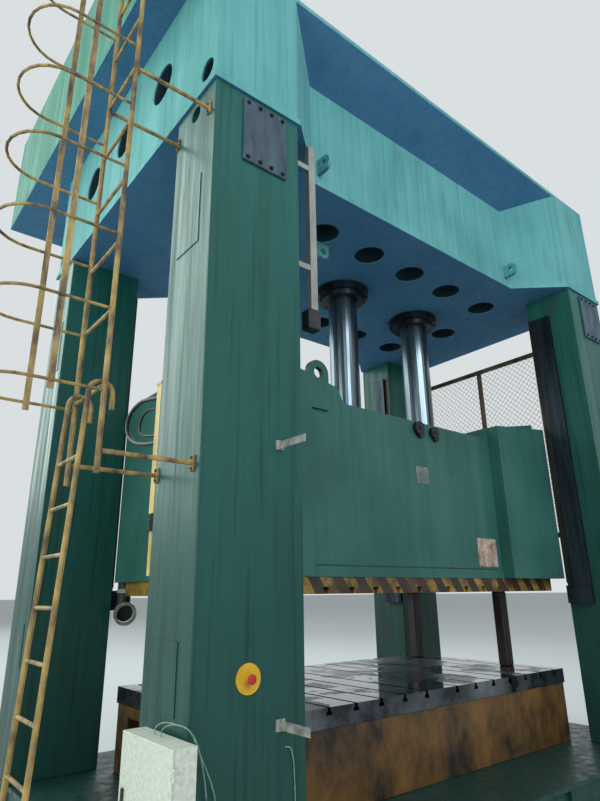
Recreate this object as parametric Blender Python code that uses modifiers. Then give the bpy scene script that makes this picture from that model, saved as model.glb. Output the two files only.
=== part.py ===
# A four-column hydraulic press with a T-slotted table, a guided slide and three plunger cylinders.
# Metres, +Z up, +X to the press's right, -Y to its front. The origin is under the middle of the bed.

import math

import bmesh
import bpy
from mathutils import Matrix

# Driving sizes of the frame
FRAME_WIDTH = 6.23
FRAME_DEPTH = 3.89
COLUMN_WIDTH = 0.81
COLUMN_DEPTH = 0.62
COLUMN_HEIGHT = 5.45
BED_HEIGHT = 0.30
CROWN_HEIGHT = 1.48
CROWN_FRONT_RECESS = 0.50
CROWN_LEDGE_PROUD = 0.02
CROWN_LEDGE_HEIGHT = 0.055
DECK_THICKNESS = 0.03
DECK_OVERHANG = 0.37

# Driving sizes of the cylinders
CYLINDER_PITCH = 1.425
BARREL_RADIUS = 0.36
PLUNGER_RADIUS = 0.187
PLUNGER_CLEARANCE = 0.004
PLUNGER_ENGAGED = 0.42
GLAND_RADIUS = 0.343
GLAND_HEIGHT = 0.15
SHOULDER_RADIUS = 0.45
SHOULDER_HEIGHT = 0.13
HEAD_RADIUS = 0.33
HEAD_HEIGHT = 0.42
PLUNGER_FOOT_RADIUS = 0.33
PLUNGER_FOOT_HEIGHT = 0.12

# Driving sizes of the slide and the table
STROKE = 1.2
TABLE_HEIGHT = 0.751
DAYLIGHT_AT_REST = 0.86
TABLE_WIDTH = 4.45
TABLE_DEPTH = 2.318
TABLE_PLATE_THICKNESS = 0.15
SLIDE_PLATE_THICKNESS = 0.139
SLIDE_BODY_HEIGHT = 1.61
TOWER_HEIGHT = 1.97
TOWER_INNER_HEIGHT = 1.76
TOWER_WIDTH = 1.05
TOWER_GUSSET = 0.12
TOWER_SLAB_DEPTH = 0.70
GUIDE_BOX_PROUD = 0.15
GUIDE_BOX_WIDTH = 1.07
GUIDE_BOX_EAR_WIDTH = 0.62
GUIDE_BOX_HEIGHT = 1.87
GUIDE_BOX_INNER_HEIGHT = 1.75
SLIDE_LEDGE_HEIGHT = 0.09
SLIDE_LEDGE_PROUD = 0.012
SLOT_PITCH = 0.30
SLOT_MIDDLE_GAP = 0.45
SLOTS_PER_SIDE = 7
SLOT_NECK_WIDTH = 0.034
SLOT_NECK_DEPTH = 0.030
SLOT_HEAD_WIDTH = 0.062
SLOT_HEAD_HEIGHT = 0.028

# Driving sizes of the ladders
LADDER_STANDOFF = 0.60
LADDER_FRONT_OFFSET = 0.09
LADDER_WIDTH = 0.51
LADDER_BOTTOM = 2.27
LADDER_RISE = 0.485
LADDER_FIRST_RUNG = 2.80
LADDER_RUNGS = 9
LADDER_OVER_DECK = 1.05
STILE_RADIUS = 0.018
RUNG_RADIUS = 0.0125
CAGE_REACH = 0.68
CAGE_STRAP_OFFSET = 0.30
CAGE_FIRST_HOOP = 2.76
CAGE_HOOP_PITCH = 0.53
CAGE_HOOPS = 10
HOOP_RADIUS = 0.010

# Running and seating gaps
SEAT_GAP = 0.0003
RUNNING_GAP = 0.0005

# Levels and edges that follow from the driving sizes
FLOOR = BED_HEIGHT
LEFT = -FRAME_WIDTH / 2
RIGHT = FRAME_WIDTH / 2
FRONT = -FRAME_DEPTH / 2
REAR = FRAME_DEPTH / 2
CROWN_BOTTOM = FLOOR + COLUMN_HEIGHT
CROWN_TOP = CROWN_BOTTOM + CROWN_HEIGHT
DECK_TOP = CROWN_TOP + DECK_THICKNESS
TABLE_TOP = FLOOR + TABLE_HEIGHT
PLATE_BOTTOM = TABLE_TOP + DAYLIGHT_AT_REST
SLIDE_BOTTOM = PLATE_BOTTOM + SLIDE_PLATE_THICKNESS
SLIDE_TOP = SLIDE_BOTTOM + SLIDE_BODY_HEIGHT
GIB_THICKNESS = 0.012
SLIDE_HALF_WIDTH = FRAME_WIDTH / 2 - COLUMN_WIDTH - SEAT_GAP - GIB_THICKNESS - RUNNING_GAP
SLIDE_HALF_DEPTH = TABLE_DEPTH / 2

for old_object in list(bpy.data.objects):
    bpy.data.objects.remove(old_object)

press = bpy.data.collections.new("hydraulic_press")
bpy.context.scene.collection.children.link(press)
cutters = bpy.data.collections.new("cutters")
bpy.context.scene.collection.children.link(cutters)


def finish(name, colour, roughness, metallic=0.0):
    """A plain Principled material."""
    made = bpy.data.materials.new(name)
    made.use_nodes = True
    shader = made.node_tree.nodes["Principled BSDF"]
    shader.inputs["Base Color"].default_value = (*colour, 1.0)
    shader.inputs["Roughness"].default_value = roughness
    shader.inputs["Metallic"].default_value = metallic
    return made


GREEN = finish("green_enamel", (0.035, 0.14, 0.12), 0.45)
LIGHT_GREEN = finish("light_green_enamel", (0.10, 0.30, 0.25), 0.45)
YELLOW = finish("yellow_enamel", (0.45, 0.28, 0.03), 0.6)
STEEL = finish("machined_steel", (0.30, 0.32, 0.34), 0.35, 1.0)
DARK_STEEL = finish("oiled_steel", (0.05, 0.055, 0.07), 0.4, 0.8)
CHROME = finish("hard_chrome", (0.75, 0.77, 0.80), 0.12, 1.0)
BRONZE = finish("gib_bronze", (0.28, 0.20, 0.12), 0.4, 0.9)
RUSTY = finish("rusted_yellow_tube", (0.36, 0.25, 0.09), 0.7)
GREY = finish("pale_grey_enamel", (0.50, 0.50, 0.45), 0.5)
BLACK = finish("black_plastic", (0.02, 0.02, 0.022), 0.5)
RED = finish("red_plastic", (0.55, 0.03, 0.05), 0.35)


def place(name, mesh, material, collection=press):
    """Put a mesh in the scene as a named object."""
    mesh.materials.clear()
    mesh.materials.append(material)
    made = bpy.data.objects.new(name, mesh)
    collection.objects.link(made)
    return made


def settle(made):
    """Replace an object's modifiers, or a curve, with the plain closed mesh that they give."""
    bpy.context.view_layer.update()
    evaluated = made.evaluated_get(bpy.context.evaluated_depsgraph_get())
    mesh = bpy.data.meshes.new_from_object(evaluated)
    mesh.transform(made.matrix_world)
    shape = bmesh.new()
    shape.from_mesh(mesh)
    bmesh.ops.remove_doubles(shape, verts=shape.verts, dist=0.00001)
    bmesh.ops.recalc_face_normals(shape, faces=shape.faces)
    shape.to_mesh(mesh)
    shape.free()
    name = made.name
    material = made.data.materials[0]
    bpy.data.objects.remove(made)
    return place(name, mesh, material)


def block(name, low, high, material, bevel=0.0):
    """A box between two corners, with its edges broken when a bevel is given."""
    shape = bmesh.new()
    bmesh.ops.create_cube(shape, size=1.0)
    for corner in shape.verts:
        corner.co = [high[i] if corner.co[i] > 0 else low[i] for i in range(3)]
    mesh = bpy.data.meshes.new(name)
    shape.to_mesh(mesh)
    shape.free()
    made = place(name, mesh, material)
    if bevel > 0:
        rounding = made.modifiers.new("broken_edges", "BEVEL")
        rounding.width = bevel
        rounding.segments = 1
        made = settle(made)
    return made


def cylinder(name, centre, radius, length, axis, material, sides=24):
    """A round bar centred on a point, along X, Y or Z."""
    turn = {"X": Matrix.Rotation(math.pi / 2, 4, "Y"),
            "Y": Matrix.Rotation(math.pi / 2, 4, "X"),
            "Z": Matrix.Identity(4)}[axis]
    shape = bmesh.new()
    bmesh.ops.create_cone(shape, cap_ends=True, segments=sides, radius1=radius, radius2=radius,
                          depth=length, matrix=Matrix.Translation(centre) @ turn)
    mesh = bpy.data.meshes.new(name)
    shape.to_mesh(mesh)
    shape.free()
    return place(name, mesh, material)


def turned(name, profile, centre, material, closed=False, axis="Z", steps=32):
    """Spin a profile of (radius, height) points into a solid that stands on a centre point."""
    mesh = bpy.data.meshes.new(name)
    points = [(radius, 0.0, height) for radius, height in profile]
    edges = [(i, i + 1) for i in range(len(points) - 1)]
    if closed:
        edges.append((len(points) - 1, 0))
    mesh.from_pydata(points, edges, [])
    made = place(name, mesh, material)
    spin = made.modifiers.new("spin", "SCREW")
    spin.steps = steps
    spin.render_steps = steps
    spin.use_merge_vertices = True
    spin.merge_threshold = 0.0001
    turn = {"X": Matrix.Rotation(math.pi / 2, 4, "Y"),
            "-X": Matrix.Rotation(-math.pi / 2, 4, "Y"),
            "-Y": Matrix.Rotation(math.pi / 2, 4, "X"),
            "Z": Matrix.Identity(4)}[axis]
    made.matrix_world = Matrix.Translation(centre) @ turn
    return settle(made)


def prism(name, outlines, plane, start, end, material):
    """Extrude flat outlines in the XY, XZ or YZ plane, from start to end along the third axis.
    The first outline is the outside and any others are holes."""
    drawing = bpy.data.curves.new(name, "CURVE")
    drawing.dimensions = "2D"
    drawing.fill_mode = "BOTH"
    drawing.extrude = (end - start) / 2
    for outline in outlines:
        spline = drawing.splines.new("POLY")
        spline.points.add(len(outline) - 1)
        for point, (u, v) in zip(spline.points, outline):
            point.co = (u, v, 0.0, 1.0)
        spline.use_cyclic_u = True
    made = place(name, drawing, material)
    middle = (start + end) / 2
    frames = {"XY": (Matrix.Identity(4), (0, 0, middle)),
              "XZ": (Matrix.Rotation(math.pi / 2, 4, "X"), (0, middle, 0)),
              "YZ": (Matrix(((0, 0, 1, 0), (1, 0, 0, 0), (0, 1, 0, 0), (0, 0, 0, 1))), (middle, 0, 0))}
    turn, offset = frames[plane]
    made.matrix_world = Matrix.Translation(offset) @ turn
    made = settle(made)
    axis = {"XY": 2, "XZ": 1, "YZ": 0}[plane]
    for corner in made.data.vertices:
        corner.co[axis] = start if corner.co[axis] < middle else end
    return made


def tube(name, path, radius, material):
    """A round bar with eight sides along a path of points."""
    wire = bpy.data.curves.new(name, "CURVE")
    wire.dimensions = "3D"
    wire.bevel_depth = radius
    wire.bevel_resolution = 2
    wire.use_fill_caps = True
    spline = wire.splines.new("POLY")
    spline.points.add(len(path) - 1)
    for point, (x, y, z) in zip(spline.points, path):
        point.co = (x, y, z, 1.0)
    return settle(place(name, wire, material))


def combine(target, pieces, operation="UNION"):
    """Join pieces to a target, or cut them from it, one after another."""
    for piece in pieces:
        step = target.modifiers.new("joint", "BOOLEAN")
        step.operation = operation
        step.solver = "EXACT"
        step.object = piece
        name = target.name
        target = settle(target)
        target.name = name
        bpy.data.objects.remove(piece)
    return target


def arc(centre, radius, first_degrees, last_degrees, steps):
    """Points along an arc in a flat outline."""
    turn = [math.radians(first_degrees + (last_degrees - first_degrees) * i / steps)
            for i in range(steps + 1)]
    return [(centre[0] + radius * math.cos(a), centre[1] + radius * math.sin(a)) for a in turn]


# The bed: a low welded box that ties the feet of the four columns
BED_FLANGE = 0.04
BED_WEB_INSET = 0.05
BED_RIB_THICKNESS = 0.03
BED_RIBS_LONG = 9
BED_RIBS_SHORT = 5


def make_bed():
    bed = block("bed", (LEFT, FRONT, 0), (RIGHT, REAR, BED_FLANGE), GREEN)
    pieces = [
        block("bed_web", (LEFT + BED_WEB_INSET, FRONT + BED_WEB_INSET, BED_FLANGE / 2),
              (RIGHT - BED_WEB_INSET, REAR - BED_WEB_INSET, BED_HEIGHT - BED_FLANGE / 2), GREEN),
        block("bed_top", (LEFT, FRONT, BED_HEIGHT - BED_FLANGE), (RIGHT, REAR, BED_HEIGHT), GREEN),
    ]
    rib_low = BED_FLANGE / 2
    rib_high = BED_HEIGHT - BED_FLANGE / 2
    edge = BED_WEB_INSET * 0.2
    for i in range(BED_RIBS_LONG):
        x = LEFT + FRAME_WIDTH * (i + 0.5) / BED_RIBS_LONG
        pieces.append(block("bed_rib", (x - BED_RIB_THICKNESS / 2, FRONT + edge, rib_low),
                            (x + BED_RIB_THICKNESS / 2, REAR - edge, rib_high), GREEN))
    for i in range(BED_RIBS_SHORT):
        y = FRONT + FRAME_DEPTH * (i + 0.5) / BED_RIBS_SHORT
        pieces.append(block("bed_rib", (LEFT + edge, y - BED_RIB_THICKNESS / 2, rib_low),
                            (RIGHT - edge, y + BED_RIB_THICKNESS / 2, rib_high), GREEN))
    return combine(bed, pieces)


# The columns: welded box columns with a cable hole, and two thin access covers on the outer face
CABLE_HOLE_RADIUS = 0.07
CABLE_HOLE_DEPTH = 0.12
CABLE_HOLE_DROP = 0.13
CABLE_HOLE_SETBACK = 0.31
ACCESS_COVER_PROUD = 0.006
ACCESS_COVER_SETBACK = 0.17
ACCESS_COVER_WIDTH = 0.33
UPPER_COVER_SPAN = (4.06, 4.66)
LOWER_COVER_SPAN = (0.96, 1.36)
COLUMN_BEVEL = 0.006

SIDES = {"left": -1, "right": 1}
ENDS = {"front": -1, "rear": 1}


def span(sign, near, far):
    """The low and high ends of a stretch that is measured outwards from the middle plane."""
    ends = sorted((sign * near, sign * far))
    return ends[0], ends[1]


def column_box(side, end):
    """The low and high corners of a column in plan."""
    x0, x1 = span(side, FRAME_WIDTH / 2 - COLUMN_WIDTH, FRAME_WIDTH / 2)
    y0, y1 = span(end, FRAME_DEPTH / 2 - COLUMN_DEPTH, FRAME_DEPTH / 2)
    return x0, x1, y0, y1


def make_column(side_name, end_name):
    side = SIDES[side_name]
    end = ENDS[end_name]
    x0, x1, y0, y1 = column_box(side, end)
    column = block("column_%s_%s" % (end_name, side_name), (x0, y0, FLOOR + SEAT_GAP),
                   (x1, y1, CROWN_BOTTOM - SEAT_GAP), GREEN, COLUMN_BEVEL)
    face = side * FRAME_WIDTH / 2
    covers = []
    for bottom, top in (UPPER_COVER_SPAN, LOWER_COVER_SPAN):
        cx0, cx1 = span(side, FRAME_WIDTH / 2 - 0.01, FRAME_WIDTH / 2 + ACCESS_COVER_PROUD)
        cy0, cy1 = span(end, FRAME_DEPTH / 2 - ACCESS_COVER_SETBACK - ACCESS_COVER_WIDTH,
                        FRAME_DEPTH / 2 - ACCESS_COVER_SETBACK)
        covers.append(block("cover", (cx0, cy0, FLOOR + bottom), (cx1, cy1, FLOOR + top), GREEN))
    column = combine(column, covers)
    hole = cylinder("cable_hole", (face, end * (FRAME_DEPTH / 2 - CABLE_HOLE_SETBACK),
                                   CROWN_BOTTOM - CABLE_HOLE_DROP),
                    CABLE_HOLE_RADIUS, 2 * CABLE_HOLE_DEPTH, "X", GREEN)
    return combine(column, [hole], "DIFFERENCE")


# The crown: a welded box between four heads, with access holes in its floor and sides
FLOOR_HOLE_RADIUS = 0.18
FLOOR_HOLE_DEPTH = 0.22
FLOOR_HOLE_ROW = 0.875
FLOOR_HOLES_X = (0.36, 1.09, 1.885)
SIDE_FLOOR_HOLE_X = 2.145
SIDE_HOLE_RADIUS = 0.20
SIDE_HOLE_DEPTH = 0.22
SIDE_HOLE_HEIGHT = 0.80
SIDE_HOLES_Y = (0.0, 0.90)
HEAD_HOLE_RADIUS = 0.10
HEAD_HOLE_HEIGHT = 0.21
HEAD_HOLE_SETBACK = 0.155
CROWN_HEAD_TAPER = 0.575
SOFFIT_DROP = 0.25
SOFFIT_EDGE = 0.02
EYE_RADIUS = 0.085
EYE_HOLE = 0.038
EYE_REACH = 0.10
EYE_THICKNESS = 0.04
FLOOR_EYE_X = -0.955
FLOOR_EYE_Y = -0.70


def crown_plan(grow):
    """The outline of the crown: a box between four heads, which stand on the columns and widen inwards."""
    x_out = FRAME_WIDTH / 2 + grow
    x_in = FRAME_WIDTH / 2 - COLUMN_WIDTH - grow
    x_mid = x_in - CROWN_HEAD_TAPER
    y_out = FRAME_DEPTH / 2 + grow
    y_in = FRAME_DEPTH / 2 - CROWN_FRONT_RECESS + grow
    return [(-x_out, -y_out), (-x_in, -y_out), (-x_mid, -y_in), (x_mid, -y_in), (x_in, -y_out),
            (x_out, -y_out), (x_out, y_out), (x_in, y_out), (x_mid, y_in), (-x_mid, y_in),
            (-x_in, y_out), (-x_out, y_out)]


def crown_recess(end):
    """The space between two heads, wider at the front, under a soffit that slopes up to the front."""
    corners = []
    for t in (0.0, 1.2):
        x = FRAME_WIDTH / 2 - COLUMN_WIDTH + CROWN_HEAD_TAPER * (t - 1)
        y = end * (FRAME_DEPTH / 2 + CROWN_FRONT_RECESS * (t - 1))
        top = CROWN_TOP - SOFFIT_DROP + (SOFFIT_DROP - SOFFIT_EDGE) * t
        for z in (CROWN_BOTTOM - 0.1, top):
            corners += [(-x, y, z), (x, y, z)]
    faces = [(0, 1, 3, 2), (4, 6, 7, 5), (0, 4, 5, 1), (2, 3, 7, 6), (0, 2, 6, 4), (1, 5, 7, 3)]
    mesh = bpy.data.meshes.new("recess")
    mesh.from_pydata(corners, [], faces)
    return settle(place("recess", mesh, LIGHT_GREEN))


def make_crown():
    crown = block("crown", (LEFT, FRONT, CROWN_BOTTOM), (RIGHT, REAR, CROWN_TOP), LIGHT_GREEN)
    crown = combine(crown, [crown_recess(-1), crown_recess(1)], "DIFFERENCE")
    ledge = prism("crown_ledge", [crown_plan(CROWN_LEDGE_PROUD)], "XY", CROWN_BOTTOM,
                  CROWN_BOTTOM + CROWN_LEDGE_HEIGHT, LIGHT_GREEN)
    crown = combine(crown, [ledge])
    holes = []
    for x in (-CYLINDER_PITCH, 0.0, CYLINDER_PITCH):
        holes.append(cylinder("bore", (x, 0, CROWN_BOTTOM + CROWN_HEIGHT / 2), BARREL_RADIUS + SEAT_GAP,
                              CROWN_HEIGHT + 0.2, "Z", LIGHT_GREEN, 32))
    for side in (-1, 1):
        for end in (-1, 1):
            for x in FLOOR_HOLES_X:
                holes.append(cylinder("hole", (side * x, end * FLOOR_HOLE_ROW, CROWN_BOTTOM),
                                      FLOOR_HOLE_RADIUS, 2 * FLOOR_HOLE_DEPTH, "Z", LIGHT_GREEN))
            holes.append(cylinder("hole", (side * FRAME_WIDTH / 2,
                                           end * (FRAME_DEPTH / 2 - HEAD_HOLE_SETBACK),
                                           CROWN_BOTTOM + HEAD_HOLE_HEIGHT),
                                  HEAD_HOLE_RADIUS, 2 * SIDE_HOLE_DEPTH, "X", LIGHT_GREEN, 16))
        holes.append(cylinder("hole", (side * SIDE_FLOOR_HOLE_X, 0, CROWN_BOTTOM),
                              FLOOR_HOLE_RADIUS, 2 * FLOOR_HOLE_DEPTH, "Z", LIGHT_GREEN))
        for y in {-SIDE_HOLES_Y[1], SIDE_HOLES_Y[0], SIDE_HOLES_Y[1]}:
            holes.append(cylinder("hole", (side * FRAME_WIDTH / 2, y, CROWN_BOTTOM + SIDE_HOLE_HEIGHT),
                                  SIDE_HOLE_RADIUS, 2 * SIDE_HOLE_DEPTH, "X", LIGHT_GREEN))
    crown = combine(crown, holes, "DIFFERENCE")
    x = FLOOR_EYE_X
    eye_z = CROWN_BOTTOM - EYE_REACH
    outline = [(x + EYE_RADIUS, CROWN_BOTTOM + 0.01), (x - EYE_RADIUS, CROWN_BOTTOM + 0.01)]
    outline += arc((x, eye_z), EYE_RADIUS, 180, 360, 10)
    eye = prism("floor_eye", [outline, circle((x, eye_z), EYE_HOLE, 12)], "XZ",
                FLOOR_EYE_Y - EYE_THICKNESS / 2, FLOOR_EYE_Y + EYE_THICKNESS / 2, LIGHT_GREEN)
    return combine(crown, [eye])


# The deck: a plate over the crown, run out to the left and behind to carry the oil tank
TANK_FRONT_SETBACK = 0.95
TANK_LENGTH = 4.57
TANK_WIDTH = 1.42
TANK_HEIGHT = 1.55
TANK_BEVEL = 0.015
TANK_FRONT = FRONT + TANK_FRONT_SETBACK
TANK_REAR = TANK_FRONT + TANK_LENGTH
TANK_LEFT = LEFT - DECK_OVERHANG
TANK_RIGHT = TANK_LEFT + TANK_WIDTH


def circle(centre, radius, sides=32):
    """A round outline."""
    return arc(centre, radius, 0, 360 - 360 / sides, sides - 1)


def make_deck():
    outline = [(TANK_LEFT, FRONT), (RIGHT, FRONT), (RIGHT, REAR), (TANK_RIGHT, REAR),
               (TANK_RIGHT, TANK_REAR), (TANK_LEFT, TANK_REAR)]
    holes = [circle((x, 0), BARREL_RADIUS + SEAT_GAP) for x in (-CYLINDER_PITCH, 0.0, CYLINDER_PITCH)]
    return prism("deck", [outline] + holes, "XY", CROWN_TOP + SEAT_GAP, DECK_TOP, GREEN)


# The oil tank, with its access lid and breather on top
LID_RADIUS = 0.30
LID_HEIGHT = 0.04
BREATHER_RADIUS = 0.07
BREATHER_HEIGHT = 0.16


def make_tank():
    tank = block("oil_tank", (TANK_LEFT, TANK_FRONT, DECK_TOP + SEAT_GAP),
                 (TANK_RIGHT, TANK_REAR, DECK_TOP + TANK_HEIGHT), LIGHT_GREEN, TANK_BEVEL)
    top = DECK_TOP + TANK_HEIGHT + SEAT_GAP
    x = (TANK_LEFT + TANK_RIGHT) / 2
    lid_y = TANK_FRONT + TANK_LENGTH * 0.25
    turned("tank_lid", [(0, LID_HEIGHT), (LID_RADIUS * 0.8, LID_HEIGHT), (LID_RADIUS * 0.85, LID_HEIGHT / 2),
                        (LID_RADIUS, LID_HEIGHT / 2), (LID_RADIUS, 0), (0, 0)], (x, lid_y, top), GREEN)
    breather_y = TANK_FRONT + TANK_LENGTH * 0.7
    neck = BREATHER_RADIUS * 0.5
    cap_low = BREATHER_HEIGHT * 0.5
    cap_top = BREATHER_HEIGHT * 0.85
    breather = turned("breather", [(0, BREATHER_HEIGHT), (BREATHER_RADIUS * 0.8, BREATHER_HEIGHT),
                                   (BREATHER_RADIUS, cap_top), (BREATHER_RADIUS, cap_low),
                                   (neck, cap_low - 0.01), (neck, -0.02), (0, -0.02)],
                      (x, breather_y, top), LIGHT_GREEN, steps=24)
    combine(tank, [breather])


# The cylinders: a barrel in the crown's bore, hung by a shoulder on the deck, with a domed head.
# The plunger runs in a blind bore and through a bolted gland under the crown.
BORE_END_SPACE = 0.15
HEAD_CHAMFER = 0.05


def make_cylinder(name, x):
    plunger_top = CROWN_BOTTOM + PLUNGER_ENGAGED
    bore_radius = PLUNGER_RADIUS + PLUNGER_CLEARANCE
    bore_end = plunger_top + STROKE + BORE_END_SPACE
    seat = DECK_TOP + SEAT_GAP
    head_top = max(seat + HEAD_HEIGHT, bore_end + 0.08)
    profile = [(0, head_top), (HEAD_RADIUS - HEAD_CHAMFER, head_top), (HEAD_RADIUS, head_top - HEAD_CHAMFER),
               (HEAD_RADIUS, seat + SHOULDER_HEIGHT), (SHOULDER_RADIUS, seat + SHOULDER_HEIGHT),
               (SHOULDER_RADIUS, seat), (BARREL_RADIUS, seat), (BARREL_RADIUS, CROWN_BOTTOM),
               (bore_radius, CROWN_BOTTOM), (bore_radius, bore_end), (0, bore_end)]
    turned("cylinder_" + name, profile, (x, 0, 0), GREEN)
    gland_top = CROWN_BOTTOM - SEAT_GAP
    gland_bore = PLUNGER_RADIUS + RUNNING_GAP
    gland_step = gland_top - GLAND_HEIGHT * 0.6
    gland_low = gland_top - GLAND_HEIGHT
    ring = [(gland_bore, gland_top), (GLAND_RADIUS, gland_top), (GLAND_RADIUS, gland_step),
            (GLAND_RADIUS * 0.86, gland_step), (GLAND_RADIUS * 0.83, gland_low), (gland_bore, gland_low)]
    turned("gland_" + name, ring, (x, 0, 0), DARK_STEEL, closed=True)
    foot = SLIDE_TOP + SEAT_GAP
    foot_top = foot + PLUNGER_FOOT_HEIGHT
    plunger = [(0, plunger_top), (PLUNGER_RADIUS - 0.01, plunger_top), (PLUNGER_RADIUS, plunger_top - 0.01),
               (PLUNGER_RADIUS, foot_top), (PLUNGER_FOOT_RADIUS, foot_top), (PLUNGER_FOOT_RADIUS, foot),
               (0, foot)]
    turned("plunger_" + name, plunger, (x, 0, 0), CHROME)


# The slide: a welded box with a raised tower at each end and a guide box at each corner
EAR_OFFSET = 1.48
EAR_RADIUS = 0.125
EAR_HOLE_RADIUS = 0.055
EAR_RISE = 0.235
EAR_THICKNESS = 0.05
EAR_PROUD = 0.03
EAR_LAP = 0.12


def tower_outline(side, inner, base):
    """The XZ outline of a raised end, with a rounded foot where it meets the slide's top."""
    top_out = SLIDE_BOTTOM + TOWER_HEIGHT
    top_in = SLIDE_BOTTOM + TOWER_INNER_HEIGHT
    tower_in = SLIDE_HALF_WIDTH - TOWER_WIDTH
    points = [(SLIDE_HALF_WIDTH, base), (SLIDE_HALF_WIDTH, top_out)]
    if inner < tower_in:
        rise = top_in - SLIDE_TOP
        points.append((tower_in, top_in))
        for i in range(1, 6):
            t = i / 6
            points.append((tower_in - TOWER_GUSSET * t, SLIDE_TOP + rise * (1 + math.cos(math.pi * t)) / 2))
        points += [(inner, SLIDE_TOP - 0.01), (inner, base)]
    else:
        points += [(inner, top_in + (top_out - top_in) * (inner - tower_in) / TOWER_WIDTH), (inner, base)]
    outline = [(side * x, z) for x, z in points]
    return outline if side > 0 else outline[::-1]


def make_slide():
    low = (-SLIDE_HALF_WIDTH, -SLIDE_HALF_DEPTH, SLIDE_BOTTOM + SEAT_GAP)
    slide = block("slide", low, (SLIDE_HALF_WIDTH, SLIDE_HALF_DEPTH, SLIDE_TOP), GREEN)
    ledge_y = SLIDE_HALF_DEPTH + SLIDE_LEDGE_PROUD
    pieces = [block("slide_ledge", (-SLIDE_HALF_WIDTH, -ledge_y, low[2]),
                    (SLIDE_HALF_WIDTH, ledge_y, SLIDE_BOTTOM + SLIDE_LEDGE_HEIGHT), GREEN)]
    tower_in = SLIDE_HALF_WIDTH - TOWER_WIDTH
    for side in (-1, 1):
        for end in (-1, 1):
            inner = tower_in - TOWER_GUSSET
            y0, y1 = span(end, SLIDE_HALF_DEPTH - TOWER_SLAB_DEPTH, SLIDE_HALF_DEPTH)
            outline = tower_outline(side, inner, SLIDE_TOP - 0.05)
            pieces.append(prism("tower", [outline], "XZ", y0, y1, GREEN))
            box_width = GUIDE_BOX_EAR_WIDTH if side == end else GUIDE_BOX_WIDTH
            box_in = side * (SLIDE_HALF_WIDTH - box_width)
            box_out = side * SLIDE_HALF_WIDTH
            outline = [(box_in, low[2]), (box_out, low[2]), (box_out, SLIDE_BOTTOM + GUIDE_BOX_HEIGHT),
                       (box_in, SLIDE_BOTTOM + GUIDE_BOX_INNER_HEIGHT)]
            y0, y1 = span(end, SLIDE_HALF_DEPTH - 0.05, SLIDE_HALF_DEPTH + GUIDE_BOX_PROUD)
            pieces.append(prism("guide_box", [outline[::side]], "XZ", y0, y1, GREEN))
    slide = combine(slide, pieces)
    for end in (-1, 1):
        x = end * EAR_OFFSET
        hole_z = SLIDE_TOP + EAR_RISE
        outline = [(x - EAR_RADIUS, SLIDE_TOP - EAR_LAP), (x + EAR_RADIUS, SLIDE_TOP - EAR_LAP)]
        outline += arc((x, hole_z), EAR_RADIUS, 0, 180, 10)
        y0, y1 = span(end, SLIDE_HALF_DEPTH + EAR_PROUD - EAR_THICKNESS, SLIDE_HALF_DEPTH + EAR_PROUD)
        ear = prism("ear", [outline, circle((x, hole_z), EAR_HOLE_RADIUS, 12)], "XZ", y0, y1, GREEN)
        slide = combine(slide, [ear])
    return slide


# The T-slotted plates of the slide and of the table
def slotted_outline(face, back):
    """The XZ outline of a plate with T-slots open at its face level. Back is its other level."""
    inward = 1 if back > face else -1
    neck = SLOT_NECK_WIDTH / 2
    head = SLOT_HEAD_WIDTH / 2
    neck_end = face + inward * SLOT_NECK_DEPTH
    head_end = neck_end + inward * SLOT_HEAD_HEIGHT
    half = TABLE_WIDTH / 2
    middles = [SLOT_MIDDLE_GAP / 2 + SLOT_PITCH * i for i in range(SLOTS_PER_SIDE)]
    middles = [-x for x in reversed(middles)] + middles
    points = [(-half, back), (-half, face)]
    for x in middles:
        points += [(x - neck, face), (x - neck, neck_end), (x - head, neck_end), (x - head, head_end),
                   (x + head, head_end), (x + head, neck_end), (x + neck, neck_end), (x + neck, face)]
    points += [(half, face), (half, back)]
    return points


def make_slide_plate():
    outline = slotted_outline(PLATE_BOTTOM, SLIDE_BOTTOM)
    return prism("slide_plate", [outline], "XZ", -SLIDE_HALF_DEPTH, SLIDE_HALF_DEPTH, YELLOW)


# The table: a T-slotted steel plate on a welded base that is open at both ends
BASE_INSET = 0.012
END_OPENING_WIDTH = 1.78
END_OPENING_BOTTOM = 0.08
END_OPENING_TOP = 0.50
END_OPENING_DEPTH = 0.70


def make_table():
    plate_low = TABLE_TOP - TABLE_PLATE_THICKNESS
    prism("table_plate", [slotted_outline(TABLE_TOP, plate_low)], "XZ", -SLIDE_HALF_DEPTH, SLIDE_HALF_DEPTH,
          STEEL)
    half_width = TABLE_WIDTH / 2 - BASE_INSET
    half_depth = TABLE_DEPTH / 2 - BASE_INSET
    base = block("table_base", (-half_width, -half_depth, FLOOR + SEAT_GAP),
                 (half_width, half_depth, plate_low - SEAT_GAP), YELLOW, 0.006)
    openings = []
    for side in (-1, 1):
        x0, x1 = span(side, half_width - END_OPENING_DEPTH, half_width + 0.1)
        openings.append(block("opening", (x0, -END_OPENING_WIDTH / 2, FLOOR + END_OPENING_BOTTOM),
                              (x1, END_OPENING_WIDTH / 2, FLOOR + END_OPENING_TOP), YELLOW))
    return combine(base, openings, "DIFFERENCE")


# The props: four steel posts that stand on the table and hold the slide up
PROP_SIDE_INSET = 0.235
PROP_END_INSETS = (0.589, 0.319)
PROP_SIZE = 0.13
PROP_BEVEL = 0.012


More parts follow.
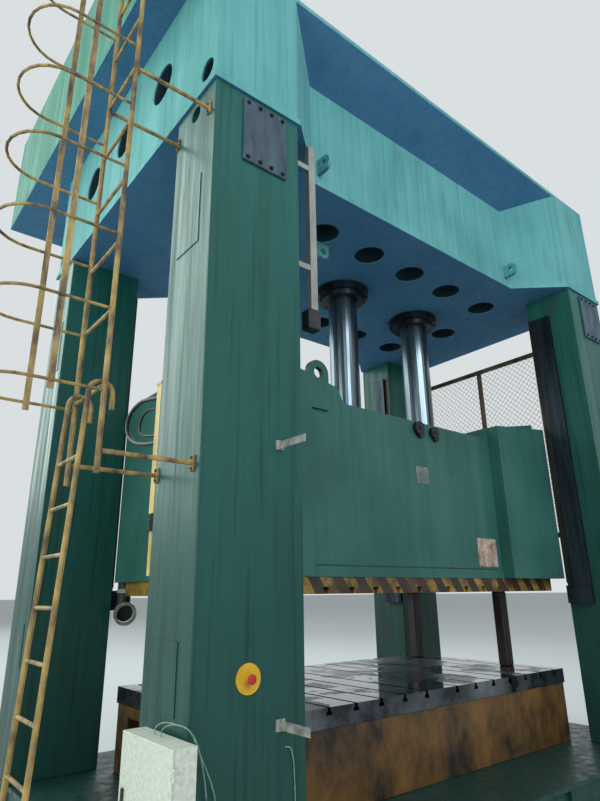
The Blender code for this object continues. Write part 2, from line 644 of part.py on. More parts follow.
def make_props():
    for side_name, side in SIDES.items():
        for (end_name, end), inset in zip(ENDS.items(), PROP_END_INSETS):
            x = side * (TABLE_WIDTH / 2 - PROP_SIDE_INSET)
            y = end * (TABLE_DEPTH / 2 - inset)
            block("prop_%s_%s" % (end_name, side_name),
                  (x - PROP_SIZE / 2, y - PROP_SIZE / 2, TABLE_TOP + SEAT_GAP),
                  (x + PROP_SIZE / 2, y + PROP_SIZE / 2, PLATE_BOTTOM - SEAT_GAP), DARK_STEEL, PROP_BEVEL)


# The guides: a greased rail with a stop block, and a gib strip, on the inner face of each column
RAIL_SETBACK = 0.31
RAIL_WIDTH = 0.21
RAIL_THICKNESS = 0.045
RAIL_SPAN = (1.67, 5.15)
STOP_BLOCK_HEIGHT = 0.20
STOP_BLOCK_WIDTH = 0.29
STOP_BLOCK_THICKNESS = 0.075
GIB_SETBACK = 0.53
GIB_SPAN = (1.70, 5.18)


def make_guides():
    inner = FRAME_WIDTH / 2 - COLUMN_WIDTH - SEAT_GAP
    rail_y = FRAME_DEPTH / 2 - RAIL_SETBACK
    for side_name, side in SIDES.items():
        for end_name, end in ENDS.items():
            x0, x1 = span(side, inner - RAIL_THICKNESS, inner)
            y0, y1 = span(end, rail_y - RAIL_WIDTH, rail_y)
            rail = block("guide_rail_%s_%s" % (end_name, side_name), (x0, y0, FLOOR + RAIL_SPAN[0] - 0.02),
                         (x1, y1, FLOOR + RAIL_SPAN[1]), DARK_STEEL)
            x0, x1 = span(side, inner - STOP_BLOCK_THICKNESS, inner)
            y0, y1 = span(end, rail_y - STOP_BLOCK_WIDTH, rail_y)
            stop = block("stop", (x0, y0, FLOOR + RAIL_SPAN[0] - STOP_BLOCK_HEIGHT),
                         (x1, y1, FLOOR + RAIL_SPAN[0]), DARK_STEEL)
            combine(rail, [stop])
            x0, x1 = span(side, inner - GIB_THICKNESS, inner)
            y0, y1 = span(end, FRAME_DEPTH / 2 - COLUMN_DEPTH, FRAME_DEPTH / 2 - GIB_SETBACK)
            block("gib_strip_%s_%s" % (end_name, side_name), (x0, y0, FLOOR + GIB_SPAN[0]),
                  (x1, y1, FLOOR + GIB_SPAN[1]), BRONZE)


# The bolted cover plates on the front columns
COVER_PLATE_OFFSET = 0.25
COVER_PLATE_WIDTH = 0.42
COVER_PLATE_SPAN = (4.80, 5.40)
COVER_PLATE_THICKNESS = 0.022


def make_cover_plates():
    for side_name, side in SIDES.items():
        x0 = column_box(side, -1)[0] + COVER_PLATE_OFFSET
        back = FRONT - SEAT_GAP
        block("cover_plate_" + side_name, (x0, back - COVER_PLATE_THICKNESS, FLOOR + COVER_PLATE_SPAN[0]),
              (x0 + COVER_PLATE_WIDTH, back, FLOOR + COVER_PLATE_SPAN[1]), DARK_STEEL, 0.004)


# The limit rail: a channel held off the left front column, with a limit switch at its foot
LIMIT_RAIL_OFFSET = 0.20
LIMIT_RAIL_SETBACK = 0.10
LIMIT_RAIL_WIDTH = 0.07
LIMIT_RAIL_DEPTH = 0.045
LIMIT_RAIL_WALL = 0.006
LIMIT_RAIL_SPAN = (3.80, 5.42)
LIMIT_ARM_INSETS = (0.35, 0.27)
LIMIT_ARM_HEIGHT = 0.05
SWITCH_SIZE = (0.13, 0.10, 0.17)


def make_limit_rail():
    x0 = LEFT + COLUMN_WIDTH + LIMIT_RAIL_OFFSET
    x1 = x0 + LIMIT_RAIL_WIDTH
    y0 = FRONT + LIMIT_RAIL_SETBACK
    y1 = y0 + LIMIT_RAIL_DEPTH
    wall = LIMIT_RAIL_WALL
    section = [(x0, y0), (x1, y0), (x1, y1), (x1 - wall, y1), (x1 - wall, y0 + wall), (x0 + wall, y0 + wall),
               (x0 + wall, y1), (x0, y1)]
    rail = prism("limit_rail", [section], "XY", FLOOR + LIMIT_RAIL_SPAN[0], FLOOR + LIMIT_RAIL_SPAN[1], GREY)
    arms = []
    seat = LEFT + COLUMN_WIDTH + SEAT_GAP
    for height in (LIMIT_RAIL_SPAN[0] + LIMIT_ARM_INSETS[0], LIMIT_RAIL_SPAN[1] - LIMIT_ARM_INSETS[1]):
        low = FLOOR + height
        high = low + LIMIT_ARM_HEIGHT
        arms.append(block("arm", (seat, y0 + wall / 2, low), (x0 + wall / 2, y0 + wall * 1.5, high), GREY))
        arms.append(block("foot", (seat, y0 - 0.03, low - 0.02),
                          (seat + wall, y1 + 0.03, high + 0.02), GREY))
    combine(rail, arms)
    middle = (x0 + x1) / 2
    top = FLOOR + LIMIT_RAIL_SPAN[0] - SEAT_GAP
    switch = block("limit_switch", (middle - SWITCH_SIZE[0] / 2, y0, top - SWITCH_SIZE[2]),
                   (middle + SWITCH_SIZE[0] / 2, y0 + SWITCH_SIZE[1], top), BLACK, 0.008)
    roller = cylinder("roller", (middle, y0 + SWITCH_SIZE[1], top - SWITCH_SIZE[2] * 0.75), 0.022, 0.05, "Y",
                      BLACK, 12)
    combine(switch, [roller])


# The control box: an open-fronted steel case on two standoffs, with a hinged door and a latch handle
BOX_FRONT_OVERHANG = 0.155
BOX_LENGTH = 0.615
BOX_DEPTH = 0.125
BOX_STANDOFF = 0.03
BOX_SPAN = (0.24, 0.885)
BOX_WALL = 0.004
DOOR_THICKNESS = 0.015
HINGE_OFFSET = 0.009
HINGE_RADIUS = 0.008
HINGE_PIN_RADIUS = 0.0040
HINGE_BORE_RADIUS = 0.0043
HINGE_BARREL = 0.03
HINGE_LEAF = 0.004
HINGE_SETBACK = 0.08
LATCH_SETBACK = 0.06
LATCH_HEIGHT = 0.60
LATCH_LENGTH = 0.11
LATCH_WIDTH = 0.024
LATCH_RADIUS = 0.013


def make_control_box():
    y0 = FRONT - BOX_FRONT_OVERHANG
    y1 = y0 + BOX_LENGTH
    x1 = LEFT - BOX_STANDOFF
    x0 = x1 - BOX_DEPTH
    z0 = FLOOR + BOX_SPAN[0]
    z1 = FLOOR + BOX_SPAN[1]
    box = block("control_box", (x0, y0, z0), (x1, y1, z1), GREY)
    wall = BOX_WALL
    hollow = block("hollow", (x0 - 0.1, y0 + wall, z0 + wall), (x1 - wall, y1 - wall, z1 - wall), GREY)
    box = combine(box, [hollow], "DIFFERENCE")
    standoffs = []
    for height in (z0 + 0.06, z1 - 0.10):
        standoffs.append(block("standoff", (x1 - wall / 2, FRONT + 0.03, height),
                               (LEFT - SEAT_GAP, y1 - 0.03, height + 0.04), GREY))
    door_x1 = x0 - SEAT_GAP
    door_x0 = door_x1 - DOOR_THICKNESS
    door = block("box_door", (door_x0, y0, z0), (door_x1, y1, z1), GREY, 0.003)
    hinge_x = (door_x0 + door_x1) / 2
    hinge_y = y0 - HINGE_OFFSET
    door_leaves = []
    bores = []
    for low in (z0 + HINGE_SETBACK, z1 - HINGE_SETBACK - 2 * HINGE_BARREL):
        split = low + HINGE_BARREL
        upper = split + SEAT_GAP
        top = upper + HINGE_BARREL
        standoffs.append(cylinder("barrel", (hinge_x, hinge_y, (low + split) / 2), HINGE_RADIUS,
                                  HINGE_BARREL, "Z", GREY, 16))
        standoffs.append(cylinder("pin", (hinge_x, hinge_y, (low + top) / 2), HINGE_PIN_RADIUS, top - low,
                                  "Z", GREY, 12))
        standoffs.append(block("leaf", (hinge_x, hinge_y - 0.002, low),
                               (x0 + HINGE_BARREL, y0 - 0.001, split), GREY))
        standoffs.append(block("leaf", (x0 + HINGE_LEAF, y0 - HINGE_LEAF, low),
                               (x0 + HINGE_BARREL, y0 + wall / 2, split), GREY))
        door_leaves.append(cylinder("barrel", (hinge_x, hinge_y, (upper + top) / 2), HINGE_RADIUS,
                                    HINGE_BARREL, "Z", GREY, 16))
        door_leaves.append(block("leaf", (hinge_x - HINGE_LEAF, hinge_y, upper),
                                 (hinge_x + HINGE_LEAF, y0 + HINGE_LEAF, top), GREY))
        bores.append(cylinder("bore", (hinge_x, hinge_y, (upper + top) / 2), HINGE_BORE_RADIUS,
                              2 * HINGE_BARREL, "Z", GREY, 12))
    combine(box, standoffs)
    door = combine(door, door_leaves)
    door = combine(door, bores, "DIFFERENCE")
    latch_y = y1 - LATCH_SETBACK
    latch_z = FLOOR + LATCH_HEIGHT
    spindle_radius = LATCH_RADIUS * 0.5
    bore_radius = spindle_radius + RUNNING_GAP
    bore = cylinder("spindle_bore", (door_x0, latch_y, latch_z), bore_radius, 0.1, "X", GREY, 12)
    door = combine(door, [bore], "DIFFERENCE")
    handle_x1 = door_x0 - RUNNING_GAP
    half = LATCH_WIDTH / 2
    handle = block("door_latch", (handle_x1 - 0.012, latch_y - half, latch_z - LATCH_LENGTH + half),
                   (handle_x1, latch_y + half, latch_z + half), BLACK, 0.003)
    spindle = cylinder("spindle", (handle_x1 + DOOR_THICKNESS / 2 - 0.001, latch_y, latch_z), spindle_radius,
                       DOOR_THICKNESS + 0.006, "X", BLACK, 12)
    combine(handle, [spindle])


# The stop button on the left front column, on a round yellow plate
STOP_OFFSET = 0.377
STOP_HEIGHT = 1.146
STOP_PLATE_RADIUS = 0.086
STOP_PLATE_THICKNESS = 0.008
STOP_COLLAR_RADIUS = 0.021
STOP_COLLAR_HEIGHT = 0.022
STOP_STEM_RADIUS = 0.012
STOP_HEAD_RADIUS = 0.028
STOP_HEAD_HEIGHT = 0.020
STOP_TRAVEL = 0.006


def make_stop_button():
    centre = (LEFT + STOP_OFFSET, FRONT - SEAT_GAP, FLOOR + STOP_HEIGHT)
    collar_top = STOP_PLATE_THICKNESS + STOP_COLLAR_HEIGHT
    bore = STOP_STEM_RADIUS + RUNNING_GAP
    plate = [(0, 0.003), (bore, 0.003), (bore, collar_top), (STOP_COLLAR_RADIUS, collar_top),
             (STOP_COLLAR_RADIUS, STOP_PLATE_THICKNESS), (STOP_PLATE_RADIUS, STOP_PLATE_THICKNESS),
             (STOP_PLATE_RADIUS, 0), (0, 0)]
    turned("stop_plate", plate, centre, YELLOW, axis="-Y", steps=40)
    under_head = collar_top + STOP_TRAVEL + RUNNING_GAP
    stem_end = 0.003 + STOP_TRAVEL + RUNNING_GAP
    head_top = under_head + STOP_HEAD_HEIGHT
    button = [(0, head_top), (STOP_HEAD_RADIUS * 0.7, head_top - 0.002),
              (STOP_HEAD_RADIUS, head_top - 0.008),
              (STOP_HEAD_RADIUS, under_head + 0.003), (STOP_HEAD_RADIUS * 0.8, under_head),
              (STOP_STEM_RADIUS, under_head), (STOP_STEM_RADIUS, stem_end), (0, stem_end)]
    turned("stop_button", button, centre, RED, axis="-Y", steps=24)


# The side guard: an angle frame with a diamond grille between the right-hand columns
GUARD_SPAN = (2.30, 5.02)
GUARD_BAR = 0.06
GUARD_THICKNESS = 0.04
GUARD_INSET = 0.10
GRILLE_THICKNESS = 0.006
GRILLE_PITCH = 0.32
GRILLE_WIRE = 0.020


def make_guard():
    x1 = RIGHT - GUARD_INSET
    x0 = x1 - GUARD_THICKNESS
    half = FRAME_DEPTH / 2 - COLUMN_DEPTH - SEAT_GAP
    z0 = FLOOR + GUARD_SPAN[0]
    z1 = FLOOR + GUARD_SPAN[1]
    bar = GUARD_BAR
    outside = [(-half, z0), (half, z0), (half, z1), (-half, z1)]
    windows = []
    for low, high in ((-half + bar, -bar / 2), (bar / 2, half - bar)):
        windows.append([(low, z0 + bar), (high, z0 + bar), (high, z1 - bar), (low, z1 - bar)])
    prism("guard_frame", [outside] + windows, "YZ", x0, x1, DARK_STEEL)
    grille_x1 = x0 - SEAT_GAP
    edge = bar / 2
    outline = [(-half + edge, z0 + edge), (half - edge, z0 + edge), (half - edge, z1 - edge),
               (-half + edge, z1 - edge)]
    across = int((2 * half - 2 * bar) / GRILLE_PITCH)
    up = int((z1 - z0 - 2 * bar) / GRILLE_PITCH)
    step_y = (2 * half - 2 * bar) / across
    step_z = (z1 - z0 - 2 * bar) / up
    reach_y = step_y / 2 - GRILLE_WIRE / 2
    reach_z = step_z / 2 - GRILLE_WIRE / 2
    diamonds = []
    for row in range(2 * up - 1):
        for place_in_row in range(across - row % 2):
            y = -half + bar + step_y * (place_in_row + 0.5 + 0.5 * (row % 2))
            z = z0 + bar + step_z * (row + 1) / 2
            diamonds.append([(y + reach_y, z), (y, z + reach_z), (y - reach_y, z), (y, z - reach_z)])
    prism("guard_grille", [outline] + diamonds, "YZ", grille_x1 - GRILLE_THICKNESS, grille_x1, STEEL)


# The caged ladder up to the deck, beside the left front column
STRAP_WIDTH = 0.038
STRAP_THICKNESS = 0.008
BRACKET_RADIUS = 0.015
BRACKET_HEIGHTS = {"lower": 2.40, "upper": 5.21}
BRACKET_FLANGE = (0.012, 0.05, 0.10)
DECK_LUG_HEIGHT = 0.05
LADDER_X = LEFT - LADDER_STANDOFF
LADDER_Y = {"front": FRONT + LADDER_FRONT_OFFSET, "rear": FRONT + LADDER_FRONT_OFFSET + LADDER_WIDTH}
LADDER_TOP = DECK_TOP + LADDER_OVER_DECK


def make_ladder():
    stiles = {name: tube("ladder", [(LADDER_X, y, FLOOR + LADDER_BOTTOM), (LADDER_X, y, LADDER_TOP)],
                         STILE_RADIUS, RUSTY) for name, y in LADDER_Y.items()}
    pieces = []
    for i in range(LADDER_RUNGS):
        z = FLOOR + LADDER_FIRST_RUNG + LADDER_RISE * i
        pieces.append(tube("rung", [(LADDER_X, LADDER_Y["front"], z), (LADDER_X, LADDER_Y["rear"], z)],
                           RUNG_RADIUS, RUSTY))
    pieces.append(stiles["rear"])
    for y in LADDER_Y.values():
        pieces.append(block("lug", (LADDER_X, y - 0.006, DECK_TOP - DECK_LUG_HEIGHT - 0.03),
                            (TANK_LEFT - SEAT_GAP, y + 0.006, DECK_TOP), RUSTY))
    ladder = combine(stiles["front"], pieces)
    ladder.name = "ladder"


def make_cage():
    """Hoops that start at the stiles and run round the climber, held by two flat straps."""
    start = LADDER_X - STILE_RADIUS - SEAT_GAP
    radius = LADDER_WIDTH / 2
    turn_x = LADDER_X - CAGE_REACH + radius
    middle_y = (LADDER_Y["front"] + LADDER_Y["rear"]) / 2
    hoops = []
    for i in range(CAGE_HOOPS):
        z = FLOOR + CAGE_FIRST_HOOP + CAGE_HOOP_PITCH * i
        bend = [(x, y, z) for x, y in arc((turn_x, middle_y), radius, 270, 90, 12)]
        path = [(start, LADDER_Y["front"], z)] + bend + [(start, LADDER_Y["rear"], z)]
        hoops.append(tube("hoop", path, HOOP_RADIUS, RUSTY))
    low = FLOOR + CAGE_FIRST_HOOP - 0.05
    high = FLOOR + CAGE_FIRST_HOOP + CAGE_HOOP_PITCH * (CAGE_HOOPS - 1) + 0.05
    straps = []
    strap_x = LADDER_X - CAGE_STRAP_OFFSET
    for sign in (-1, 1):
        face = middle_y + sign * (radius - HOOP_RADIUS * 0.2)
        y0, y1 = sorted((face, face - sign * STRAP_THICKNESS))
        straps.append(block("cage", (strap_x - STRAP_WIDTH / 2, y0, low),
                            (strap_x + STRAP_WIDTH / 2, y1, high), RUSTY))
    cage = combine(straps[0], hoops + [straps[1]])
    cage.name = "ladder_cage"


def make_ladder_brackets():
    depth, width, height = BRACKET_FLANGE
    start = LADDER_X + STILE_RADIUS + SEAT_GAP
    wall = LEFT - SEAT_GAP
    for level, z in BRACKET_HEIGHTS.items():
        for end_name, y in LADDER_Y.items():
            name = "ladder_bracket_%s_%s" % (level, end_name)
            path = [(start, y, FLOOR + z), (wall - depth / 2, y, FLOOR + z)]
            bar = tube(name, path, BRACKET_RADIUS, RUSTY)
            middle = min(y, FRONT + COLUMN_DEPTH - width / 2)
            flange = block("flange", (wall - depth, middle - width / 2, FLOOR + z - height / 2),
                           (wall, middle + width / 2, FLOOR + z + height / 2), RUSTY)
            combine(bar, [flange])


# The hook-on ladder: two canes hooked over the caged ladder's lowest rung, with its feet on the bed
HOOK_LADDER_INSET = 0.055
HOOK_LADDER_WIDTH = 0.36
HOOK_LADDER_FOOT_X = 0.205
HOOK_STILE_RADIUS = 0.016
HOOK_BEND_RADIUS = 0.072
HOOK_TIP = 0.09
HOOK_SEAT_GAP = 0.0008
HOOK_RUNG_RADIUS = 0.011
HOOK_RUNG_RISE = 0.27
HOOK_FIRST_RUNG = 0.21


def make_hook_ladder():
    """The ladder stands on the ground plane outside the bed, and leans in to its hooks."""
    inner = HOOK_BEND_RADIUS - HOOK_STILE_RADIUS
    centre_z = FLOOR + LADDER_FIRST_RUNG + RUNG_RADIUS + HOOK_SEAT_GAP - inner
    centre_x = LADDER_X
    top = (centre_x - HOOK_BEND_RADIUS, centre_z)
    foot = (LADDER_X - HOOK_LADDER_FOOT_X, HOOK_STILE_RADIUS)
    bend = arc((centre_x, centre_z), HOOK_BEND_RADIUS, 180, 0, 8)
    front = LADDER_Y["front"] + HOOK_LADDER_INSET
    stiles = []
    for y in (front, front + HOOK_LADDER_WIDTH):
        path = [(foot[0], y, 0.0), (foot[0], y, foot[1])] + [(x, y, z) for x, z in bend]
        path.append((centre_x + HOOK_BEND_RADIUS, y, centre_z - HOOK_TIP))
        stiles.append(tube("hook_ladder", path, HOOK_STILE_RADIUS, RUSTY))
    rungs = []
    for i in range(int((top[1] - FLOOR - HOOK_FIRST_RUNG) / HOOK_RUNG_RISE)):
        z = FLOOR + HOOK_FIRST_RUNG + HOOK_RUNG_RISE * i
        x = foot[0] + (top[0] - foot[0]) * (z - foot[1]) / (top[1] - foot[1])
        path = [(x, front, z), (x, front + HOOK_LADDER_WIDTH, z)]
        rungs.append(tube("rung", path, HOOK_RUNG_RADIUS, RUSTY))
    ladder = combine(stiles[0], rungs + [stiles[1]])
    ladder.name = "hook_ladder"


# Small welded pieces: stub bars on the front column, lifting eyes on the crown, and a cable duct
STUB_OFFSET = 0.61
STUB_LENGTH = 0.28
STUB_HEIGHTS = {"lower": 0.875, "upper": 2.585}
STUB_SIZE = (0.010, 0.05)
STUB_PAD = 0.065
EYE_OFFSET = 1.64
EYE_HEIGHT = 0.22
DUCT_WIDTH = 0.07
DUCT_DEPTH = 0.07
DUCT_SPAN = (1.74, 3.11)


def make_stub_bars():
    x = LEFT + STUB_OFFSET
    for name, height in STUB_HEIGHTS.items():
        z = FLOOR + height
        bar = block("stub_bar_" + name, (x - STUB_SIZE[0] / 2, FRONT - STUB_LENGTH, z - STUB_SIZE[1] / 2),
                    (x + STUB_SIZE[0] / 2, FRONT - SEAT_GAP, z + STUB_SIZE[1] / 2), GREY)
        pad = block("pad", (x - STUB_PAD / 2, FRONT - SEAT_GAP - STUB_SIZE[0], z - STUB_PAD / 2),
                    (x + STUB_PAD / 2, FRONT - SEAT_GAP, z + STUB_PAD / 2), GREY)
        combine(bar, [pad])


def make_lifting_eyes():
    face = FRONT + CROWN_FRONT_RECESS - SEAT_GAP
    z = CROWN_BOTTOM + EYE_HEIGHT
    for name, side in SIDES.items():
        x = side * EYE_OFFSET
        outline = [(face, z - EYE_RADIUS), (face, z + EYE_RADIUS)]
        outline += arc((face - EYE_REACH, z), EYE_RADIUS, 90, 270, 10)
        hole = circle((face - EYE_REACH, z), EYE_HOLE, 12)
        prism("lifting_eye_" + name, [outline, hole], "YZ", x - EYE_THICKNESS / 2,
              x + EYE_THICKNESS / 2, GREEN)


def make_cable_duct():
    y0 = FRONT + COLUMN_DEPTH + SEAT_GAP
    block("cable_duct", (LEFT, y0, FLOOR + DUCT_SPAN[0]),
          (LEFT + DUCT_WIDTH, y0 + DUCT_DEPTH, FLOOR + DUCT_SPAN[1]), YELLOW, 0.005)


# The pump set on the deck: a motor with a finned body, a pump, and a valve block
MOTOR_RADIUS = 0.26
MOTOR_LENGTH = 0.70
MOTOR_FINS = 24
FIN_HEIGHT = 0.022
PUMP_RADIUS = 0.15
PUMP_LENGTH = 0.42
PUMP_SET_X = 1.05
PUMP_SET_Y = 1.25
SKID_HEIGHT = 0.12
VALVE_BLOCK_SIZE = (0.60, 0.40, 0.35)
VALVE_BLOCK_X = -0.72
VALVE_RADIUS = 0.06
VALVE_LENGTH = 0.16


def make_pump_set():
    base = DECK_TOP + SEAT_GAP
    axis_z = base + SKID_HEIGHT + MOTOR_RADIUS
    outline = []
    for i in range(MOTOR_FINS):
        turn = 2 * math.pi * i / MOTOR_FINS
        for share, radius in ((-0.3, MOTOR_RADIUS), (-0.12, MOTOR_RADIUS + FIN_HEIGHT),
                              (0.12, MOTOR_RADIUS + FIN_HEIGHT), (0.3, MOTOR_RADIUS)):
            a = turn + share * 2 * math.pi / MOTOR_FINS
            outline.append((PUMP_SET_Y + radius * math.cos(a), axis_z + radius * math.sin(a)))
    motor = prism("pump_motor", [outline], "YZ", PUMP_SET_X, PUMP_SET_X + MOTOR_LENGTH, GREEN)
    fan_cover = cylinder("fan_cover", (PUMP_SET_X + MOTOR_LENGTH + 0.06, PUMP_SET_Y, axis_z),
                         MOTOR_RADIUS + 0.01, 0.16, "X", GREEN, 32)
    terminal_box = block("terminal_box", (PUMP_SET_X + 0.2, PUMP_SET_Y - 0.1, axis_z + MOTOR_RADIUS - 0.05),
                         (PUMP_SET_X + 0.45, PUMP_SET_Y + 0.1, axis_z + MOTOR_RADIUS + 0.12), GREEN)
    feet = block("feet", (PUMP_SET_X + 0.08, PUMP_SET_Y - 0.24, base),
                 (PUMP_SET_X + MOTOR_LENGTH - 0.08, PUMP_SET_Y + 0.24, base + SKID_HEIGHT + 0.09), GREEN)
    combine(motor, [fan_cover, terminal_box, feet])
    pump_end = PUMP_SET_X - SEAT_GAP
    profile = [(0, 0), (PUMP_RADIUS * 1.35, 0), (PUMP_RADIUS * 1.35, 0.05), (PUMP_RADIUS * 0.8, 0.07),
               (PUMP_RADIUS * 0.8, 0.16), (PUMP_RADIUS, 0.17), (PUMP_RADIUS, PUMP_LENGTH - 0.04),
               (PUMP_RADIUS - 0.04, PUMP_LENGTH), (0, PUMP_LENGTH)]
    pump = turned("pump", profile, (pump_end, PUMP_SET_Y, axis_z), DARK_STEEL, axis="-X", steps=24)
    foot = block("pump_foot", (pump_end - 0.30, PUMP_SET_Y - 0.09, base),
                 (pump_end - 0.20, PUMP_SET_Y + 0.09, axis_z - PUMP_RADIUS * 0.5), DARK_STEEL)
    combine(pump, [foot])


def make_valve_block():
    base = DECK_TOP + SEAT_GAP
    width, depth, height = VALVE_BLOCK_SIZE
    x0 = VALVE_BLOCK_X - width / 2
    y0 = PUMP_SET_Y - depth / 2
    valve_block = block("valve_block", (x0, y0, base), (x0 + width, y0 + depth, base + height), STEEL, 0.006)
    valves = []
    for i in range(3):
        x = x0 + width * (i + 0.5) / 3
        middle = (x, PUMP_SET_Y, base + height + VALVE_LENGTH / 2 - 0.01)
        valves.append(cylinder("valve", middle, VALVE_RADIUS, VALVE_LENGTH, "Z", STEEL, 16))
    combine(valve_block, valves)


make_bed()
for column_side in SIDES:
    for column_end in ENDS:
        make_column(column_side, column_end)
make_crown()
make_deck()
make_tank()
for cylinder_name, cylinder_x in (("left", -CYLINDER_PITCH), ("centre", 0.0), ("right", CYLINDER_PITCH)):
    make_cylinder(cylinder_name, cylinder_x)
make_slide()
make_slide_plate()
make_table()
make_props()
make_guides()
make_cover_plates()
make_limit_rail()
make_control_box()
make_stop_button()
make_guard()
make_ladder()
make_cage()
make_ladder_brackets()
make_hook_ladder()
make_stub_bars()
make_lifting_eyes()
make_cable_duct()
make_pump_set()
make_valve_block()
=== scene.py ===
"""A column hydraulic press as it stands in a workshop: green enamel over welded steel boxes,
chromed plungers, an oily T-slotted table, and a rusted ladder in its cage."""
import math

import bmesh
import bpy
from mathutils import Matrix, Vector


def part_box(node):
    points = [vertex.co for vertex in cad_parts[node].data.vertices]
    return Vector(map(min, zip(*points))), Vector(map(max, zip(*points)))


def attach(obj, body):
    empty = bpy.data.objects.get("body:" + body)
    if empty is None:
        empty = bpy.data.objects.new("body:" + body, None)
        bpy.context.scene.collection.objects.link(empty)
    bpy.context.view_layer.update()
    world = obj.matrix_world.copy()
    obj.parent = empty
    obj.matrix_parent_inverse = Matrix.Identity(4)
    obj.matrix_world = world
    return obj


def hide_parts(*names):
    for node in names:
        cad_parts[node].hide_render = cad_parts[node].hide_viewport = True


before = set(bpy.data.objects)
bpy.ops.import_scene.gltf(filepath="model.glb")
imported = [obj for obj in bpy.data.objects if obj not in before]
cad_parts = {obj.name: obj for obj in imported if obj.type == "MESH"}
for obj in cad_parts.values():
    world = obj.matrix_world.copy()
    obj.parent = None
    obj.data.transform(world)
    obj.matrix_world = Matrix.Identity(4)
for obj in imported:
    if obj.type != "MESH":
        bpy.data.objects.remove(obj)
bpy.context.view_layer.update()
scene = bpy.context.scene
scene.view_settings.view_transform = "Standard"

# The camera stands at eye height, left of the press and close to it, and looks up. Its place and turn
# were solved from the column edges, the T-slots and the ladder's rungs.
EYE = Vector((-4.840, -5.067, 1.917))
YAW, PITCH, ROLL = 0.6793, 0.3202, -0.0127
LENS_MM, SENSOR_MM = 26.157, 36.0
FAR_CLIP = 1500.0
forward = Vector((math.sin(YAW) * math.cos(PITCH), math.cos(YAW) * math.cos(PITCH), math.sin(PITCH)))
right = Vector((math.cos(YAW), -math.sin(YAW), 0.0))
above = right.cross(forward)
right_rolled = right * math.cos(ROLL) + above * math.sin(ROLL)
above_rolled = above * math.cos(ROLL) - right * math.sin(ROLL)
camera = bpy.data.objects.new("camera", bpy.data.cameras.new("camera"))
camera.data.sensor_fit = "VERTICAL"
camera.data.sensor_height = SENSOR_MM
camera.data.lens = LENS_MM
camera.data.clip_end = FAR_CLIP
camera_turn = Matrix((right_rolled, above_rolled, -forward)).transposed().to_4x4()
camera.matrix_world = Matrix.Translation(EYE) @ camera_turn
scene.collection.objects.link(camera)
scene.camera = camera


# The studio: a pale matt floor at the bed's underside, an even pale sky, and four large soft lamps.
# Two of them stand on the left, so that the left faces are the bright ones. The sheen lamp lies where the
# front left column's left face mirrors it to the camera.
def linear(code):
    """Linear colour, with alpha, from an sRGB hex value."""
    parts = [int(code[i:i + 2], 16) / 255 for i in (1, 3, 5)]
    return (*[c / 12.92 if c <= 0.04045 else ((c + 0.055) / 1.055) ** 2.4 for c in parts], 1.0)


def node(tree, kind, settings=None, links=None):
    """Adds one node. Settings go to its sockets or attributes, and links come from (node, output)."""
    made = tree.nodes.new("ShaderNode" + kind)
    for name, value in (settings or {}).items():
        if isinstance(name, int) or name in made.inputs.keys():
            made.inputs[name].default_value = value
        else:
            setattr(made, name, value)
    for name, (source, output) in (links or {}).items():
        tree.links.new(source.outputs[output], made.inputs[name])
    return made


FLOOR_HALF_WIDTH = 500.0
floor_paint = bpy.data.materials.new("pale_matt_floor")
floor_paint.use_nodes = True
floor_shader = floor_paint.node_tree.nodes["Principled BSDF"]
floor_shader.inputs["Base Color"].default_value = linear("#D2D4D3")
floor_shader.inputs["Roughness"].default_value = 0.85
floor_shape = bmesh.new()
bmesh.ops.create_grid(floor_shape, x_segments=1, y_segments=1, size=FLOOR_HALF_WIDTH)
floor_mesh = bpy.data.meshes.new("floor")
floor_shape.to_mesh(floor_mesh)
floor_shape.free()
floor_mesh.materials.append(floor_paint)
floor = bpy.data.objects.new("floor", floor_mesh)
scene.collection.objects.link(floor)

# The dimmer sky lights the press. The camera, and whatever mirrors or is clear, sees the paler backdrop.
LIGHTING_STRENGTH, BACKDROP_STRENGTH = 0.50, 0.92
world = bpy.data.worlds.new("pale_studio")
scene.world = world
world.use_nodes = True
sky = world.node_tree
sky.nodes.clear()
ray = node(sky, "LightPath")
seen_through = node(sky, "Math", {"operation": "MAXIMUM"},
                    {0: (ray, "Is Camera Ray"), 1: (ray, "Is Transmission Ray")})
mirrored_too = node(sky, "Math", {"operation": "MAXIMUM"}, {0: (seen_through, 0), 1: (ray, "Is Glossy Ray")})
lighting = node(sky, "Background", {"Color": linear("#E6F0F4"), "Strength": LIGHTING_STRENGTH})
backdrop = node(sky, "Background", {"Color": linear("#E2E7E9"), "Strength": BACKDROP_STRENGTH})
chosen = node(sky, "MixShader", {}, {0: (mirrored_too, 0), 1: (lighting, 0), 2: (backdrop, 0)})
node(sky, "OutputWorld", {}, {"Surface": (chosen, 0)})

# Each lamp's name, its place, what it points at, the side of its square, its watts and its colour.
LAMPS = (("left_lamp", (-14.0, -3.0, 5.5), (-2.0, 0.0, 3.5), 7.0, 800.0, "#E4F6EC"),
         ("sheen_lamp", (-18.0, 28.0, 20.0), (-3.0, -1.5, 4.5), 26.0, 8500.0, "#E8F6F0"),
         ("front_lamp", (-3.5, -16.0, 9.0), (2.0, 0.0, 5.5), 8.0, 1300.0, "#EFF8FF"),
         ("rear_lamp", (7.0, 10.0, 15.0), (0.0, 0.0, 5.0), 8.0, 900.0, "#F2F8FF"))
for name, place, target, side, watts, colour in LAMPS:
    lamp = bpy.data.lights.new(name, "AREA")
    lamp.shape = "SQUARE"
    lamp.size = side
    lamp.energy = watts
    lamp.color = linear(colour)[:3]
    holder = bpy.data.objects.new(name, lamp)
    holder.location = place
    holder.rotation_euler = (Vector(target) - Vector(place)).to_track_quat("-Z", "Y").to_euler()
    scene.collection.objects.link(holder)


